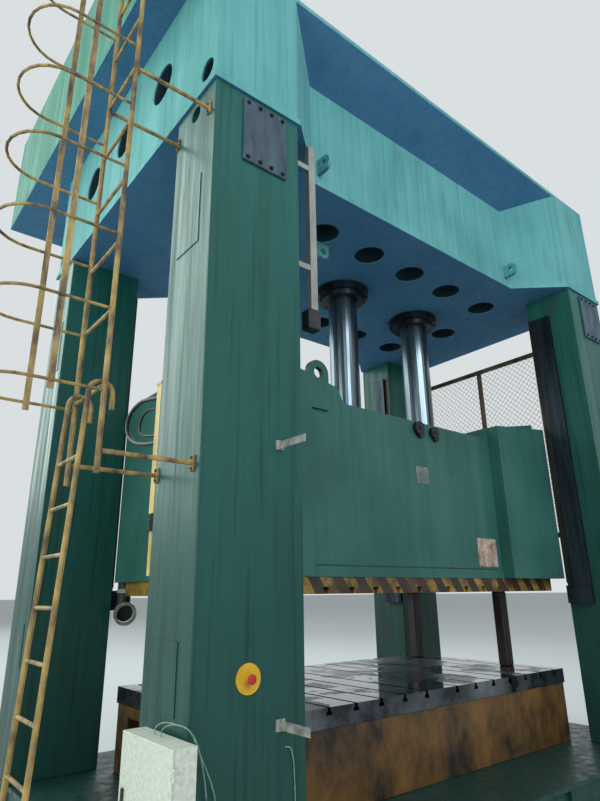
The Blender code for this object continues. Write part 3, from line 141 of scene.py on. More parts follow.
# The columns and the bed: welded steel plate under brushed green enamel. The paint has run in upright
# streaks, oil has crept down it, and the lower part is dull with dirt.
def per_metre(millimetres):
    """The noise scale whose patches are about this many millimetres wide."""
    return 1000 / millimetres


def brushed_enamel(name, light, dark, oil, gloss=0.42, streaks=0.5, oil_share=0.35, floor_dirt=0.0,
                   painted_underside_shade="#1B3A48"):
    """Alkyd enamel brushed on steel: satin, in upright runs that shine and dull in turn, with a painted
    shade, darker and bluer, on the faces that look down."""
    made = bpy.data.materials.new(name)
    made.use_nodes = True
    tree = made.node_tree
    shader = tree.nodes["Principled BSDF"]
    place = node(tree, "TexCoord")

    # Brush runs 111 mm wide and 22 times as long, over cloudy patches a little more than a metre wide.
    upright = node(tree, "Mapping", {"Scale": (1.0, 1.0, 0.045)}, {"Vector": (place, "Object")})
    runs = node(tree, "TexNoise", {"Scale": per_metre(111.11), "Detail": 6.0, "Roughness": 0.62},
                {"Vector": (upright, 0)})
    patches = node(tree, "TexNoise", {"Scale": per_metre(1111.1), "Detail": 4.0, "Roughness": 0.55},
                   {"Vector": (place, "Object")})
    run_share = node(tree, "MapRange", {"From Min": 0.30, "From Max": 0.70, "To Max": streaks},
                     {"Value": (runs, 0)})
    patch_share = node(tree, "MapRange", {"From Min": 0.35, "From Max": 0.70, "To Max": 1.0 - streaks},
                       {"Value": (patches, 0)})
    share = node(tree, "Math", {"operation": "ADD"}, {0: (run_share, 0), 1: (patch_share, 0)})
    paint = node(tree, "Mix", {"data_type": "RGBA", 6: linear(light), 7: linear(dark)}, {0: (share, 0)})

    # Dark oil that has run down in lines 45 mm wide, and rusty trails 385 mm wide.
    drips = node(tree, "Mapping", {"Scale": (1.0, 1.0, 0.03)}, {"Vector": (place, "Object")})
    drip_noise = node(tree, "TexNoise", {"Scale": per_metre(45.455), "Detail": 3.0, "Roughness": 0.5},
                      {"Vector": (drips, 0)})
    drip_share = node(tree, "MapRange", {"From Min": 0.54, "From Max": 0.72, "To Max": oil_share},
                      {"Value": (drip_noise, 0)})
    oiled = node(tree, "Mix", {"data_type": "RGBA", 7: linear(oil)}, {0: (drip_share, 0), 6: (paint, 2)})
    trails = node(tree, "Mapping", {"Scale": (1.0, 1.0, 0.2)}, {"Vector": (place, "Object")})
    rust_noise = node(tree, "TexNoise", {"Scale": per_metre(384.62), "Detail": 5.0, "Roughness": 0.6},
                      {"Vector": (trails, 0)})
    rust_share = node(tree, "MapRange", {"From Min": 0.56, "From Max": 0.70, "To Max": oil_share * 0.8},
                      {"Value": (rust_noise, 0)})
    rusty = node(tree, "Mix", {"data_type": "RGBA", 7: linear("#37362D")},
                 {0: (rust_share, 0), 6: (oiled, 2)})

    # Dirt that thickens from 5.4 m over the floor down to 0.6 m, and a painted shade,
    # darker and bluer, on the faces that look down.
    split = node(tree, "SeparateXYZ", {}, {"Vector": (place, "Object")})
    dirt_share = node(tree, "MapRange", {"From Min": 5.4, "From Max": 0.6, "To Max": floor_dirt},
                      {"Value": (split, "Z")})
    dirty = node(tree, "Mix", {"data_type": "RGBA", 7: linear("#1E2C26")},
                 {0: (dirt_share, 0), 6: (rusty, 2)})
    # Painted shade: faces that look down are mixed towards a dark blue colour.
    surface = node(tree, "NewGeometry")
    facing = node(tree, "SeparateXYZ", {}, {"Vector": (surface, "Normal")})
    under = node(tree, "MapRange", {"From Min": -0.6, "From Max": -0.9, "To Max": 0.72},
                 {"Value": (facing, "Z")})
    enamel_with_painted_shade = node(tree, "Mix", {"data_type": "RGBA", 7: linear(painted_underside_shade)}, {0: (under, 0), 6: (dirty, 2)})
    tree.links.new(enamel_with_painted_shade.outputs[2], shader.inputs["Base Color"])

    # The runs are shiny and dull in turn, over an upright brush grain of 18 mm and slow waves of the plate.
    shader.inputs["Specular IOR Level"].default_value = 0.24
    dullness = node(tree, "MapRange", {"From Min": 0.32, "From Max": 0.68, "To Min": gloss - 0.10,
                                       "To Max": gloss + 0.42 * streaks}, {"Value": (runs, 0)})
    tree.links.new(dullness.outputs[0], shader.inputs["Roughness"])
    grain = node(tree, "TexNoise", {"Scale": per_metre(18.182), "Detail": 4.0}, {"Vector": (upright, 0)})
    ripple = node(tree, "Bump", {"Strength": 0.22, "Distance": 0.004}, {"Height": (grain, 0)})
    waves = node(tree, "Bump", {"Strength": 0.35, "Distance": 0.012},
                 {"Height": (patches, 0), "Normal": (ripple, 0)})
    tree.links.new(waves.outputs[0], shader.inputs["Normal"])
    shader.inputs["IOR"].default_value = 1.5
    return made


def dress(names, material):
    """Gives CAD nodes their finish."""
    for name in names:
        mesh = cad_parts[name].data
        mesh.materials.clear()
        mesh.materials.append(material)


column_enamel = brushed_enamel("streaked_green_enamel", "#276660", "#124A42", "#0C2F29", gloss=0.33,
                               streaks=0.62, oil_share=0.60, floor_dirt=0.62)
dress(["column_front_left", "column_front_right", "column_rear_left", "column_rear_right", "bed"],
      column_enamel)

# The crown and the deck: welded plate under the same enamel, newer, lighter and duller than on the
# columns, with a strongly blue painted shade where it looks down.
crown_enamel = brushed_enamel("light_green_enamel", "#6FB0B1", "#50908F", "#32655F", gloss=0.70,
                              streaks=0.45, oil_share=0.3, painted_underside_shade="#2F5590")
dress(["deck", "lifting_eye_left", "lifting_eye_right"], crown_enamel)

# The walls of the crown's holes carry a painted shade, a dark blue-grey, so they read as dark mouths. A
# hole's wall is told from the outer plates by its place, 10 mm or more inside them. The place is taken
# without its sign, so that one set of limits does for left and right, front and rear.
WALL_END_X, WALL_HEAD_X = 3.10, 2.33
WALL_MIDDLE_Y, WALL_HEAD_Y = 1.39, 1.93
WALL_LOW_Z, WALL_HIGH_Z = 5.76, 7.22
crown_with_painted_hole_shade = crown_enamel.copy()
crown_with_painted_hole_shade.name = "light_green_enamel_painted_shade_in_holes"
tree = crown_with_painted_hole_shade.node_tree
place = node(tree, "TexCoord")
mirrored = node(tree, "VectorMath", {"operation": "ABSOLUTE"}, {0: (place, "Object")})
split = node(tree, "SeparateXYZ", {}, {"Vector": (mirrored, 0)})
inside_ends = node(tree, "Math", {"operation": "LESS_THAN", 1: WALL_END_X}, {0: (split, "X")})
in_head = node(tree, "Math", {"operation": "GREATER_THAN", 1: WALL_HEAD_X}, {0: (split, "X")})
inside_middle = node(tree, "Math", {"operation": "LESS_THAN", 1: WALL_MIDDLE_Y}, {0: (split, "Y")})
inside_head = node(tree, "Math", {"operation": "LESS_THAN", 1: WALL_HEAD_Y}, {0: (split, "Y")})
over_floor = node(tree, "Math", {"operation": "GREATER_THAN", 1: WALL_LOW_Z}, {0: (split, "Z")})
below_top = node(tree, "Math", {"operation": "LESS_THAN", 1: WALL_HIGH_Z}, {0: (split, "Z")})
head_zone = node(tree, "Math", {"operation": "MULTIPLY"}, {0: (in_head, 0), 1: (inside_head, 0)})
zone = node(tree, "Math", {"operation": "MAXIMUM"}, {0: (head_zone, 0), 1: (inside_middle, 0)})
for limit in (inside_ends, over_floor, below_top):
    zone = node(tree, "Math", {"operation": "MULTIPLY"}, {0: (zone, 0), 1: (limit, 0)})
crown_colour = tree.nodes["Principled BSDF"].inputs["Base Color"]
painted = crown_colour.links[0].from_node
# Painted shade: the hole walls are mixed to a dark blue-grey.
painted_hole_shade_mix = node(tree, "Mix", {"data_type": "RGBA", 7: linear("#1B3440")}, {0: (zone, 0), 6: (painted, 2)})
tree.links.new(painted_hole_shade_mix.outputs[2], crown_colour)
dress(["crown"], crown_with_painted_hole_shade)

# The oil tank: thin plate in a greener enamel than the crown's, sprayed, so that it is smooth and less
# marked by oil.
tank_enamel = brushed_enamel("tank_enamel", "#589886", "#437F6F", "#2B5A4E", gloss=0.70, streaks=0.45,
                             oil_share=0.2)
dress(["oil_tank", "tank_lid"], tank_enamel)

# The slide and the cylinders: welded and turned steel under the green enamel again, duller and cloudier
# than on the columns where hands and oil have rubbed it.
slide_enamel = brushed_enamel("slide_enamel", "#3B6B64", "#27544D", "#1B3B36", gloss=0.38, streaks=0.25,
                              oil_share=0.25)
dress(["slide", "cylinder_left", "cylinder_centre", "cylinder_right"], slide_enamel)


# The guide rails, glands, props and gib strips: machined metal, dark with old grease. It shows as two tones
# drawn out along the way that the slide runs, brighter where the film is thin.
def mottled_finish(name, light, dark, rough, metallic, mottle, stretch=(1.0, 1.0, 1.0), bump=0.2):
    """A finish in two tones, the darker one the duller, in patches of so many millimetres, with a grain a
    fourteenth as wide."""
    made = bpy.data.materials.new(name)
    made.use_nodes = True
    tree = made.node_tree
    shader = tree.nodes["Principled BSDF"]
    place = node(tree, "TexCoord")
    pulled = node(tree, "Mapping", {"Scale": stretch}, {"Vector": (place, "Object")})
    film = node(tree, "TexNoise", {"Scale": per_metre(mottle), "Detail": 8.0, "Roughness": 0.65},
                {"Vector": (pulled, 0)})
    share = node(tree, "MapRange", {"From Min": 0.36, "From Max": 0.64}, {"Value": (film, 0)})
    colour = node(tree, "Mix", {"data_type": "RGBA", 6: linear(light), 7: linear(dark)}, {0: (share, 0)})
    dull = node(tree, "MapRange", {"To Min": rough - 0.12, "To Max": rough + 0.15}, {"Value": (film, 0)})
    fine = node(tree, "TexNoise", {"Scale": per_metre(mottle / 14), "Detail": 3.0}, {"Vector": (pulled, 0)})
    relief = node(tree, "Bump", {"Strength": bump, "Distance": 0.003}, {"Height": (fine, 0)})
    tree.links.new(colour.outputs[2], shader.inputs["Base Color"])
    tree.links.new(dull.outputs[0], shader.inputs["Roughness"])
    tree.links.new(relief.outputs[0], shader.inputs["Normal"])
    shader.inputs["Metallic"].default_value = metallic
    return made


greased_steel = mottled_finish("greased_rail_steel", "#3A4550", "#161C22", 0.42, 0.85, 200, (1.0, 1.0, 0.12))
dress(["guide_rail_front_left", "guide_rail_front_right", "guide_rail_rear_left", "guide_rail_rear_right",
       "gland_left", "gland_centre", "gland_right"], greased_steel)
prop_steel = mottled_finish("oily_prop_steel", "#3B3034", "#1A1416", 0.40, 0.6, 142.86, (1.0, 1.0, 0.2))
dress(["prop_front_left", "prop_front_right", "prop_rear_left", "prop_rear_right"], prop_steel)
greased_gib = mottled_finish("greased_gib_strip", "#4B4438", "#1C2228", 0.45, 0.8, 125, (1.0, 1.0, 0.1))
dress(["gib_strip_front_left", "gib_strip_front_right", "gib_strip_rear_left", "gib_strip_rear_right"],
      greased_gib)

# The plungers: steel, ground and hard-chromed. They mirror the room in long soft streaks, dulled in part
# by films of oil drawn up and down them.
plunger_chrome = mottled_finish("hard_chrome", "#87979F", "#3A4650", 0.27, 1.0, 111.11, (1.0, 1.0, 0.04),
                                0.03)
dress(["plunger_left", "plunger_centre", "plunger_right"], plunger_chrome)

# The table: a planed steel plate, on a base of worn yellow enamel that is painted dark throughout as shade.
# Oil lies on the plate in puddles about half a metre across, which mirror what is above them where the dry
# steel is satin.
table_steel = mottled_finish("oily_planed_steel", "#7A7F86", "#33373C", 0.20, 0.9, 666.67, bump=0.10)
tree = table_steel.node_tree
place = node(tree, "TexCoord")
puddles = node(tree, "TexNoise", {"Scale": per_metre(588.24), "Detail": 6.0, "Roughness": 0.6},
               {"Vector": (place, "Object")})
wetness = node(tree, "MapRange", {"From Min": 0.47, "From Max": 0.50, "To Min": 0.36, "To Max": 0.07},
               {"Value": (puddles, 0)})
tree.links.new(wetness.outputs[0], tree.nodes["Principled BSDF"].inputs["Roughness"])
dress(["table_plate"], table_steel)
# Painted shade: both tones of the base's yellow are darkened to stand for the shade the base lies in.
base_enamel_painted_dark = mottled_finish("worn_yellow_enamel_painted_shade", "#785426", "#130F0C", 0.45, 0.0, 384.62, (1.0, 1.0, 0.7),
                             0.3)
dress(["table_base"], base_enamel_painted_dark)

# The slide plate: yellow enamel with black warning stripes leaning left on the front and rear edges,
# rubbed down to brown rust along the middle. Its slotted underside is bare, oily steel.
STRIPE_PITCH, STRIPE_LEAN, STRIPE_WAVER = 0.27, 0.72, 0.05
stripes = bpy.data.materials.new("striped_warning_enamel")
stripes.use_nodes = True
tree = stripes.node_tree
shader = tree.nodes["Principled BSDF"]
place = node(tree, "TexCoord")
split = node(tree, "SeparateXYZ", {}, {"Vector": (place, "Object")})
lean = node(tree, "Math", {"operation": "MULTIPLY", 1: STRIPE_LEAN}, {0: (split, "Z")})
along = node(tree, "Math", {"operation": "ADD"}, {0: (split, "X"), 1: (lean, 0)})
smear = node(tree, "TexNoise", {"Scale": per_metre(142.86), "Detail": 5.0}, {"Vector": (place, "Object")})
shaky = node(tree, "Math", {"operation": "MULTIPLY_ADD", 1: STRIPE_WAVER}, {0: (smear, 0), 2: (along, 0)})
turns = node(tree, "Math", {"operation": "DIVIDE", 1: STRIPE_PITCH}, {0: (shaky, 0)})
part_turn = node(tree, "Math", {"operation": "FRACT"}, {0: (turns, 0)})
band = node(tree, "MapRange", {"From Min": 0.47, "From Max": 0.53}, {"Value": (part_turn, 0)})
surface = node(tree, "NewGeometry")
facing = node(tree, "SeparateXYZ", {}, {"Vector": (surface, "Normal")})
endways = node(tree, "Math", {"operation": "ABSOLUTE"}, {0: (facing, "Y")})
on_edge = node(tree, "Math", {"operation": "GREATER_THAN", 1: 0.5}, {0: (endways, 0)})
black_share = node(tree, "Math", {"operation": "MULTIPLY"}, {0: (band, 0), 1: (on_edge, 0)})
two_tone = node(tree, "Mix", {"data_type": "RGBA", 6: linear("#9C7B30"), 7: linear("#17140F")},
                {0: (black_share, 0)})
wear = node(tree, "TexNoise", {"Scale": per_metre(312.5), "Detail": 9.0, "Roughness": 0.7},
            {"Vector": (place, "Object")})
rust_share = node(tree, "MapRange", {"From Min": 0.40, "From Max": 0.58, "To Max": 0.92},
                  {"Value": (wear, 0)})
rusted = node(tree, "Mix", {"data_type": "RGBA", 7: linear("#3A2716")},
              {0: (rust_share, 0), 6: (two_tone, 2)})
under = node(tree, "MapRange", {"From Min": -0.5, "From Max": -0.8}, {"Value": (facing, "Z")})
bare = node(tree, "Mix", {"data_type": "RGBA", 7: linear("#2B2C2E")}, {0: (under, 0), 6: (rusted, 2)})
tree.links.new(bare.outputs[2], shader.inputs["Base Color"])
shader.inputs["Roughness"].default_value = 0.5
shader.inputs["IOR"].default_value = 1.5
dress(["slide_plate"], stripes)

# The cover plates on the front columns, and the pump's housing: dark steel that oil mist has given a dull
# blue-grey bloom.
cover_steel = mottled_finish("dull_cover_plate", "#4E6474", "#2E3C48", 0.55, 0.3, 166.67, (1.0, 1.0, 0.3))
dress(["cover_plate_left", "cover_plate_right", "pump"], cover_steel)

# The control box: sheet steel in pale grey enamel, which rust has come through in faint flecks about
# 24 mm apart.
pale_enamel = mottled_finish("rust_speckled_enamel", "#D2D6CC", "#BBBBAE", 0.5, 0.0, 23.81)
dress(["control_box", "box_door"], pale_enamel)

# The limit rail and the stub bars: steel bars that were painted grey. The paint has been rubbed, and has
# browned where oil and rust have reached it.
rail_enamel = mottled_finish("greyed_rail_enamel", "#9CA09C", "#7C7A72", 0.5, 0.2, 200, (1.0, 1.0, 0.3))
dress(["limit_rail"], rail_enamel)
bar_enamel = mottled_finish("greyed_bar_enamel", "#B4B4B0", "#6F6660", 0.5, 0.2, 62.5)
dress(["stub_bar_lower", "stub_bar_upper"], bar_enamel)

# The limit switch and the box's latch: moulded black plastic, satin and even, so its two tones lie close
# together.
switch_plastic = mottled_finish("black_moulded_plastic", "#24262A", "#151619", 0.5, 0.0, 83.333)
dress(["limit_switch", "door_latch"], switch_plastic)

# The stop button: moulded red plastic, smooth enough to shine, on a disc of yellow plastic that is a
# little duller.
stop_red = mottled_finish("red_moulded_plastic", "#C2202E", "#A5141F", 0.3, 0.0, 83.333, bump=0.03)
dress(["stop_button"], stop_red)
stop_yellow = mottled_finish("yellow_moulded_plastic", "#D9A514", "#C08E10", 0.4, 0.0, 83.333, bump=0.05)
dress(["stop_plate"], stop_yellow)

# The ladders and their brackets: welded steel tube and bar under yellow paint that has browned, with rust
# through it in patches about 90 mm wide.
ladder_paint = mottled_finish("rusted_yellow_tube", "#AE8F4E", "#4A382E", 0.55, 0.0, 90.909, (1.0, 1.0, 0.4),
                              0.4)
dress(["ladder", "ladder_cage", "hook_ladder", "ladder_bracket_lower_front", "ladder_bracket_lower_rear",
       "ladder_bracket_upper_front", "ladder_bracket_upper_rear"], ladder_paint)

# The pump set: a finned motor in brushed green enamel, and a valve block of blued steel with a soft
# shine.
block_steel = mottled_finish("blued_block_steel", "#8E9394", "#5B6062", 0.45, 0.8, 83.333)
dress(["valve_block"], block_steel)
motor_enamel = brushed_enamel("motor_enamel", "#3F7C6E", "#2C6155", "#1B3A35")
dress(["pump_motor"], motor_enamel)


# The guard between the right columns: diamond wire in a frame of brown angle iron. The wire is 5 mm thick
# and 60 mm apart, which is 85 mm along the frame, and it stands for the coarse grille of the CAD.
def add_box(shape, low, high):
    """Adds a box between two corners to a mesh that is being built."""
    made = bmesh.ops.create_cube(shape, size=1.0)["verts"]
    for corner in made:
        corner.co = [high[i] if corner.co[i] > 0 else low[i] for i in range(3)]


def add_bar(shape, start, end, radius, sides=8):
    """Adds a round bar from one point to another. Six sides make it a hexagon."""
    start, end = Vector(start), Vector(end)
    reach = end - start
    turned = Matrix.Translation((start + end) / 2) @ reach.to_track_quat("Z", "Y").to_matrix().to_4x4()
    bmesh.ops.create_cone(shape, cap_ends=True, segments=sides, radius1=radius, radius2=radius,
                          depth=reach.length, matrix=turned)


def piece(name, shape, material, body):
    """Turns what was built into a piece that rides on a body."""
    mesh = bpy.data.meshes.new(name)
    shape.to_mesh(mesh)
    shape.free()
    mesh.materials.append(material)
    made = bpy.data.objects.new(name, mesh)
    scene.collection.objects.link(made)
    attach(made, body)
    return made


brown_iron = mottled_finish("browned_angle_iron", "#6A5B49", "#2E2722", 0.6, 0.3, 166.67, (1.0, 1.0, 0.3))
dress(["guard_frame"], brown_iron)
wire_steel = mottled_finish("browned_wire", "#6E5A4A", "#3D3029", 0.6, 0.3, 83.333)
WIRE_PITCH, WIRE_RADIUS, WIRE_SIDES = 0.085, 0.0025, 4
low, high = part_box("guard_grille")
middle_x = (low[0] + high[0]) / 2
width, height = high[1] - low[1], high[2] - low[2]
wires = bmesh.new()
for i in range(1, int((width + height) / WIRE_PITCH)):
    reach = i * WIRE_PITCH
    near = (max(0.0, reach - height), min(reach, height))
    far = (min(reach, width), max(0.0, reach - width))
    for side in (-1, 1):
        x = middle_x + side * WIRE_RADIUS
        ends = [(x, low[1] + u if side > 0 else high[1] - u, low[2] + v) for u, v in (near, far)]
        add_bar(wires, ends[0], ends[1], WIRE_RADIUS, WIRE_SIDES)
guard_mesh = piece("guard_mesh", wires, wire_steel, "frame")
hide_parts("guard_grille")


# The bolts: hexagon heads on washers, of blackened steel that keeps a dull shine. They hold the cover
# plates, the glands, the cylinders' shoulders and the tank's lid. A bolt's size is its width across flats.
COVER_BOLT, GLAND_BOLT, SHOULDER_BOLT, LID_BOLT = 0.022, 0.022, 0.03, 0.02
COVER_MARGIN, LID_MARGIN = 0.035, 0.035
SHOULDER_RISE, SHOULDER_RING = 0.1303, 0.41


def bolts(name, places, way, across, material, body):
    """Hexagon heads with washers, each standing on its place and pointing one way."""
    shape = bmesh.new()
    out = Vector(way)
    for place in places:
        foot = Vector(place)
        add_bar(shape, foot, foot + out * across * 0.12, across * 0.95, 16)
        add_bar(shape, foot + out * across * 0.12, foot + out * across * 0.75, across * 0.58, 6)
    return piece(name, shape, material, body)


def ring_of(centre, radius, count):
    """Points evenly round a circle in a level plane."""
    angles = [2 * math.pi * (i + 0.5) / count for i in range(count)]
    return [(centre[0] + radius * math.cos(a), centre[1] + radius * math.sin(a), centre[2]) for a in angles]


black_steel = mottled_finish("blackened_bolt_steel", "#3E4144", "#1C1D1F", 0.45, 0.8, 71.429)
for side in ("left", "right"):
    low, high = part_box("cover_plate_" + side)
    width = high[0] - low[0]
    places = [(low[0] + width * share, low[1], level) for share in (0.1, 0.37, 0.63, 0.9)
              for level in (low[2] + COVER_MARGIN, high[2] - COVER_MARGIN)]
    bolts("cover_bolts_" + side, places, (0, -1, 0), COVER_BOLT, black_steel, "frame")
for name in ("left", "centre", "right"):
    low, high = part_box("gland_" + name)
    radius = (high[0] - low[0]) / 2
    centre = ((low[0] + high[0]) / 2, 0.0, high[2] - (high[2] - low[2]) * 0.6)
    bolts("gland_bolts_" + name, ring_of(centre, radius * 0.93, 12), (0, 0, -1), GLAND_BOLT, black_steel,
          "frame")
    shoulder = (centre[0], 0.0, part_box("deck")[1][2] + SHOULDER_RISE)
    bolts("shoulder_bolts_" + name, ring_of(shoulder, SHOULDER_RING, 16), (0, 0, 1), SHOULDER_BOLT,
          black_steel, "frame")
low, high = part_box("tank_lid")
lid_top = ((low[0] + high[0]) / 2, (low[1] + high[1]) / 2, high[2])
lid_radius = (high[0] - low[0]) / 2
bolts("lid_bolts", ring_of(lid_top, lid_radius - LID_MARGIN, 12), (0, 0, 1), LID_BOLT, black_steel, "frame")

# The ladder's flange bolts: two to a flange, hexagon heads like the others. Their steel has rusted brown and
# rough with the ladder.
FLANGE_BOLT, FLANGE_THICK, FLANGE_MARGIN = 0.014, 0.012, 0.015
rusty_bolt = mottled_finish("rusted_bolt_steel", "#6B4C2E", "#33231A", 0.7, 0.3, 71.429)
places = []
for level in ("lower", "upper"):
    for end in ("front", "rear"):
        low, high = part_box("ladder_bracket_%s_%s" % (level, end))
        flange_x, flange_y = high[0] - FLANGE_THICK, (low[1] + high[1]) / 2
        places += [(flange_x, flange_y, low[2] + FLANGE_MARGIN),
                   (flange_x, flange_y, high[2] - FLANGE_MARGIN)]
bolts("flange_bolts", places, (-1, 0, 0), FLANGE_BOLT, rusty_bolt, "frame")

# The anchor bolts: eight along each end of the bed's foot, hexagon heads that hold the press down. They are
# painted over in green enamel with the bed.
ANCHOR_BOLT, ANCHOR_MARGIN, ANCHOR_RISE, ANCHOR_COUNT = 0.02, 0.025, 0.04, 8
green_bolt = brushed_enamel("painted_bolt_enamel", "#2A6A66", "#17504A", "#103530")
low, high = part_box("bed")
places = [(low[0] + ANCHOR_MARGIN, low[1] + (high[1] - low[1]) * (i + 0.5) / ANCHOR_COUNT,
           low[2] + ANCHOR_RISE) for i in range(ANCHOR_COUNT)]
places += [(high[0] - ANCHOR_MARGIN, y, z) for x, y, z in places]
bolts("anchor_bolts", places, (0, 0, 1), ANCHOR_BOLT, green_bolt, "frame")

# The guide rails' screws: eleven to a rail, 300 mm apart, of blackened steel, on the face that looks to the
# slide. That face lies behind the stop block's, where the rail's box ends.
RAIL_SCREW, BEHIND_STOP, SCREW_FIRST, SCREW_PITCH, SCREW_COUNT = 0.012, 0.029, 0.35, 0.3, 11
for side, sign in (("left", 1), ("right", -1)):
    places = []
    for end in ("front", "rear"):
        low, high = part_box("guide_rail_%s_%s" % (end, side))
        screw_x = (high[0] if sign > 0 else low[0]) - sign * BEHIND_STOP
        places += [(screw_x, (low[1] + high[1]) / 2, low[2] + SCREW_FIRST + SCREW_PITCH * i)
                   for i in range(SCREW_COUNT)]
    bolts("rail_screws_" + side, places, (sign, 0, 0), RAIL_SCREW, black_steel, "frame")

# The fittings on the slide's front: a small bare rating plate on four rivets, and a rectangle where a
# plate has been taken off, pale primer with rust coming through.
PLATE_THICK, RIVET_RADIUS, PATCH_THICK = 0.004, 0.006, 0.0025
plate_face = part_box("slide_plate")[0][1]
bare_plate = mottled_finish("dulled_aluminium_plate", "#8B918F", "#5A6361", 0.4, 0.7, 125)
rating_plate = bmesh.new()
add_box(rating_plate, (-0.145, plate_face - PLATE_THICK, 2.99), (0.055, plate_face, 3.17))
for x in (-0.130, 0.040):
    for z in (3.005, 3.155):
        add_bar(rating_plate, (x, plate_face - PLATE_THICK, z), (x, plate_face - 2 * PLATE_THICK, z),
                RIVET_RADIUS, 10)
piece("slide_rating_plate", rating_plate, bare_plate, "slide")
primer = mottled_finish("rusting_primer", "#C0B3A6", "#8A5F48", 0.7, 0.0, 90.909)
patch = bmesh.new()
add_box(patch, (0.80, plate_face - PATCH_THICK, 2.175), (1.15, plate_face, 2.475))
piece("bare_patch", patch, primer, "slide")

# A painted shadow in the corner above the slide's bottom ledge: a thin strip 11 mm high on the slide's
# face, dark and matt.
LEDGE_HEIGHT, SHADOW_LINE_HEIGHT, SHADOW_LINE_DEPTH, SHADOW_LINE_LIFT = 0.09, 0.011, 0.006, 0.0005
painted_shadow_finish = mottled_finish("painted_shadow_strip", "#1E3834", "#10201E", 0.6, 0.0, 50)
ledge_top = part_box("slide")[0][2] + LEDGE_HEIGHT
shadow_strip = bmesh.new()
add_box(shadow_strip, (-1.560, plate_face - SHADOW_LINE_DEPTH, ledge_top + SHADOW_LINE_LIFT),
        (1.120, plate_face, ledge_top + SHADOW_LINE_HEIGHT))
piece("slide_painted_shadow_line", shadow_strip, painted_shadow_finish, "slide")

# Two rubber pads at the slide's top edge, each a large disc over a smaller one, held by a bolt. The rubber
# is black, and matt and uneven where oil has swollen it.
PAD_THICK, SMALL_PAD_THICK, SMALL_PAD_SHARE, PAD_BOLT_TOP, PAD_BOLT_RADIUS = 0.05, 0.035, 0.75, 0.062, 0.018
rubber = mottled_finish("oil_swollen_rubber", "#1D1C1E", "#0D0C0E", 0.6, 0.0, 55.556, bump=0.6)
for name, x, z, radius in (("left", -0.075, 3.585, 0.072), ("right", 0.175, 3.570, 0.060)):
    pad = bmesh.new()
    add_bar(pad, (x, plate_face, z), (x, plate_face - PAD_THICK, z), radius, 20)
    add_bar(pad, (x + 0.03, plate_face, z - 0.05), (x + 0.03, plate_face - SMALL_PAD_THICK, z - 0.05),
            radius * SMALL_PAD_SHARE, 16)
    add_bar(pad, (x, plate_face - PAD_THICK, z), (x, plate_face - PAD_BOLT_TOP, z), PAD_BOLT_RADIUS, 6)
    piece("slide_pad_" + name, pad, rubber, "slide")

# The cable duct behind the left front column: a channel and a tube of sheet steel in pale yellow enamel,
# with a black bellows between them where the duct flexes. Together they stand for the plain duct of the CAD.
BELLOWS_LOW, BELLOWS_HIGH, FOLDS = 2.33, 2.45, 8
HALF_FOLD, FOLD_OUTER, FOLD_INNER = 0.0075, 1.35, 0.9
LIP_HEIGHT = 0.02
duct_paint = mottled_finish("pale_yellow_enamel", "#D8B866", "#A5833A", 0.5, 0.0, 111.11, (1.0, 1.0, 0.3))
low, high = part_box("cable_duct")
channel = bmesh.new()
add_box(channel, (low[0], low[1], BELLOWS_HIGH), (high[0], high[1], high[2] - LIP_HEIGHT))
add_box(channel, (low[0] - 0.004, low[1], high[2] - LIP_HEIGHT), (high[0] + 0.012, high[1] + 0.008, high[2]))
duct_channel = piece("duct_channel", channel, duct_paint, "frame")
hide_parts("cable_duct")
axis_x, axis_y = (low[0] + high[0]) / 2, (low[1] + high[1]) / 2
tube_radius = min(high[0] - low[0], high[1] - low[1]) / 2
tube = bmesh.new()
add_bar(tube, (axis_x, axis_y, low[2]), (axis_x, axis_y, BELLOWS_LOW), tube_radius, 24)
piece("duct_tube", tube, duct_paint, "frame")
bellows = bmesh.new()
for i in range(FOLDS):
    z = BELLOWS_LOW + (BELLOWS_HIGH - BELLOWS_LOW) * i / FOLDS
    for start_z, share in ((z, FOLD_OUTER), (z + HALF_FOLD, FOLD_INNER)):
        add_bar(bellows, (axis_x, axis_y, start_z), (axis_x, axis_y, start_z + HALF_FOLD),
                tube_radius * share, 20)
piece("duct_bellows", bellows, rubber, "frame")

# The drain elbow under the slide's rear left guide box: a black hose stub held by a steel clip, ending in
# a flange of pale, rough cast iron with an open mouth.
STUB_X, STUB_Y, BEND_Z = -2.205, 1.235, 1.78
FLANGE_RADIUS, MOUTH_RADIUS, FLANGE_SIDES = 0.116, 0.088, 28
cast_grey = mottled_finish("cast_flange_iron", "#A3A49E", "#5C5C56", 0.6, 0.3, 71.429)
slide_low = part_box("slide")[0][2]
mouth = (STUB_X - 0.02, STUB_Y - 0.10, 1.74)
outer = (STUB_X - 0.026, STUB_Y - 0.135, 1.735)
stub = bmesh.new()
add_bar(stub, (STUB_X, STUB_Y, slide_low), (STUB_X, STUB_Y, BEND_Z), 0.070, 24)
add_bar(stub, (STUB_X, STUB_Y, BEND_Z), mouth, 0.085, 24)
piece("drain_stub", stub, rubber, "slide")
flange = bmesh.new()
add_bar(flange, (STUB_X, STUB_Y, 1.985), (STUB_X, STUB_Y, 1.945), 0.076, 24)
turned = (Vector(outer) - Vector(mouth)).to_track_quat("Z", "Y").to_matrix()
for i in range(FLANGE_SIDES):
    first, second = 2 * math.pi * i / FLANGE_SIDES, 2 * math.pi * (i + 1) / FLANGE_SIDES
    corners = []
    for base in (mouth, outer):
        for angle, reach in ((first, MOUTH_RADIUS), (first, FLANGE_RADIUS), (second, FLANGE_RADIUS),
                             (second, MOUTH_RADIUS)):
            spot = Vector((reach * math.cos(angle), reach * math.sin(angle), 0.0))
            corners.append(flange.verts.new(Vector(base) + turned @ spot))
    for a, b, c, d in ((0, 1, 2, 3), (7, 6, 5, 4), (1, 5, 6, 2), (4, 0, 3, 7)):
        flange.faces.new([corners[a], corners[b], corners[c], corners[d]])
bmesh.ops.remove_doubles(flange, verts=flange.verts, dist=0.0001)
bmesh.ops.recalc_face_normals(flange, faces=flange.faces)
piece("drain_flange", flange, cast_grey, "slide")


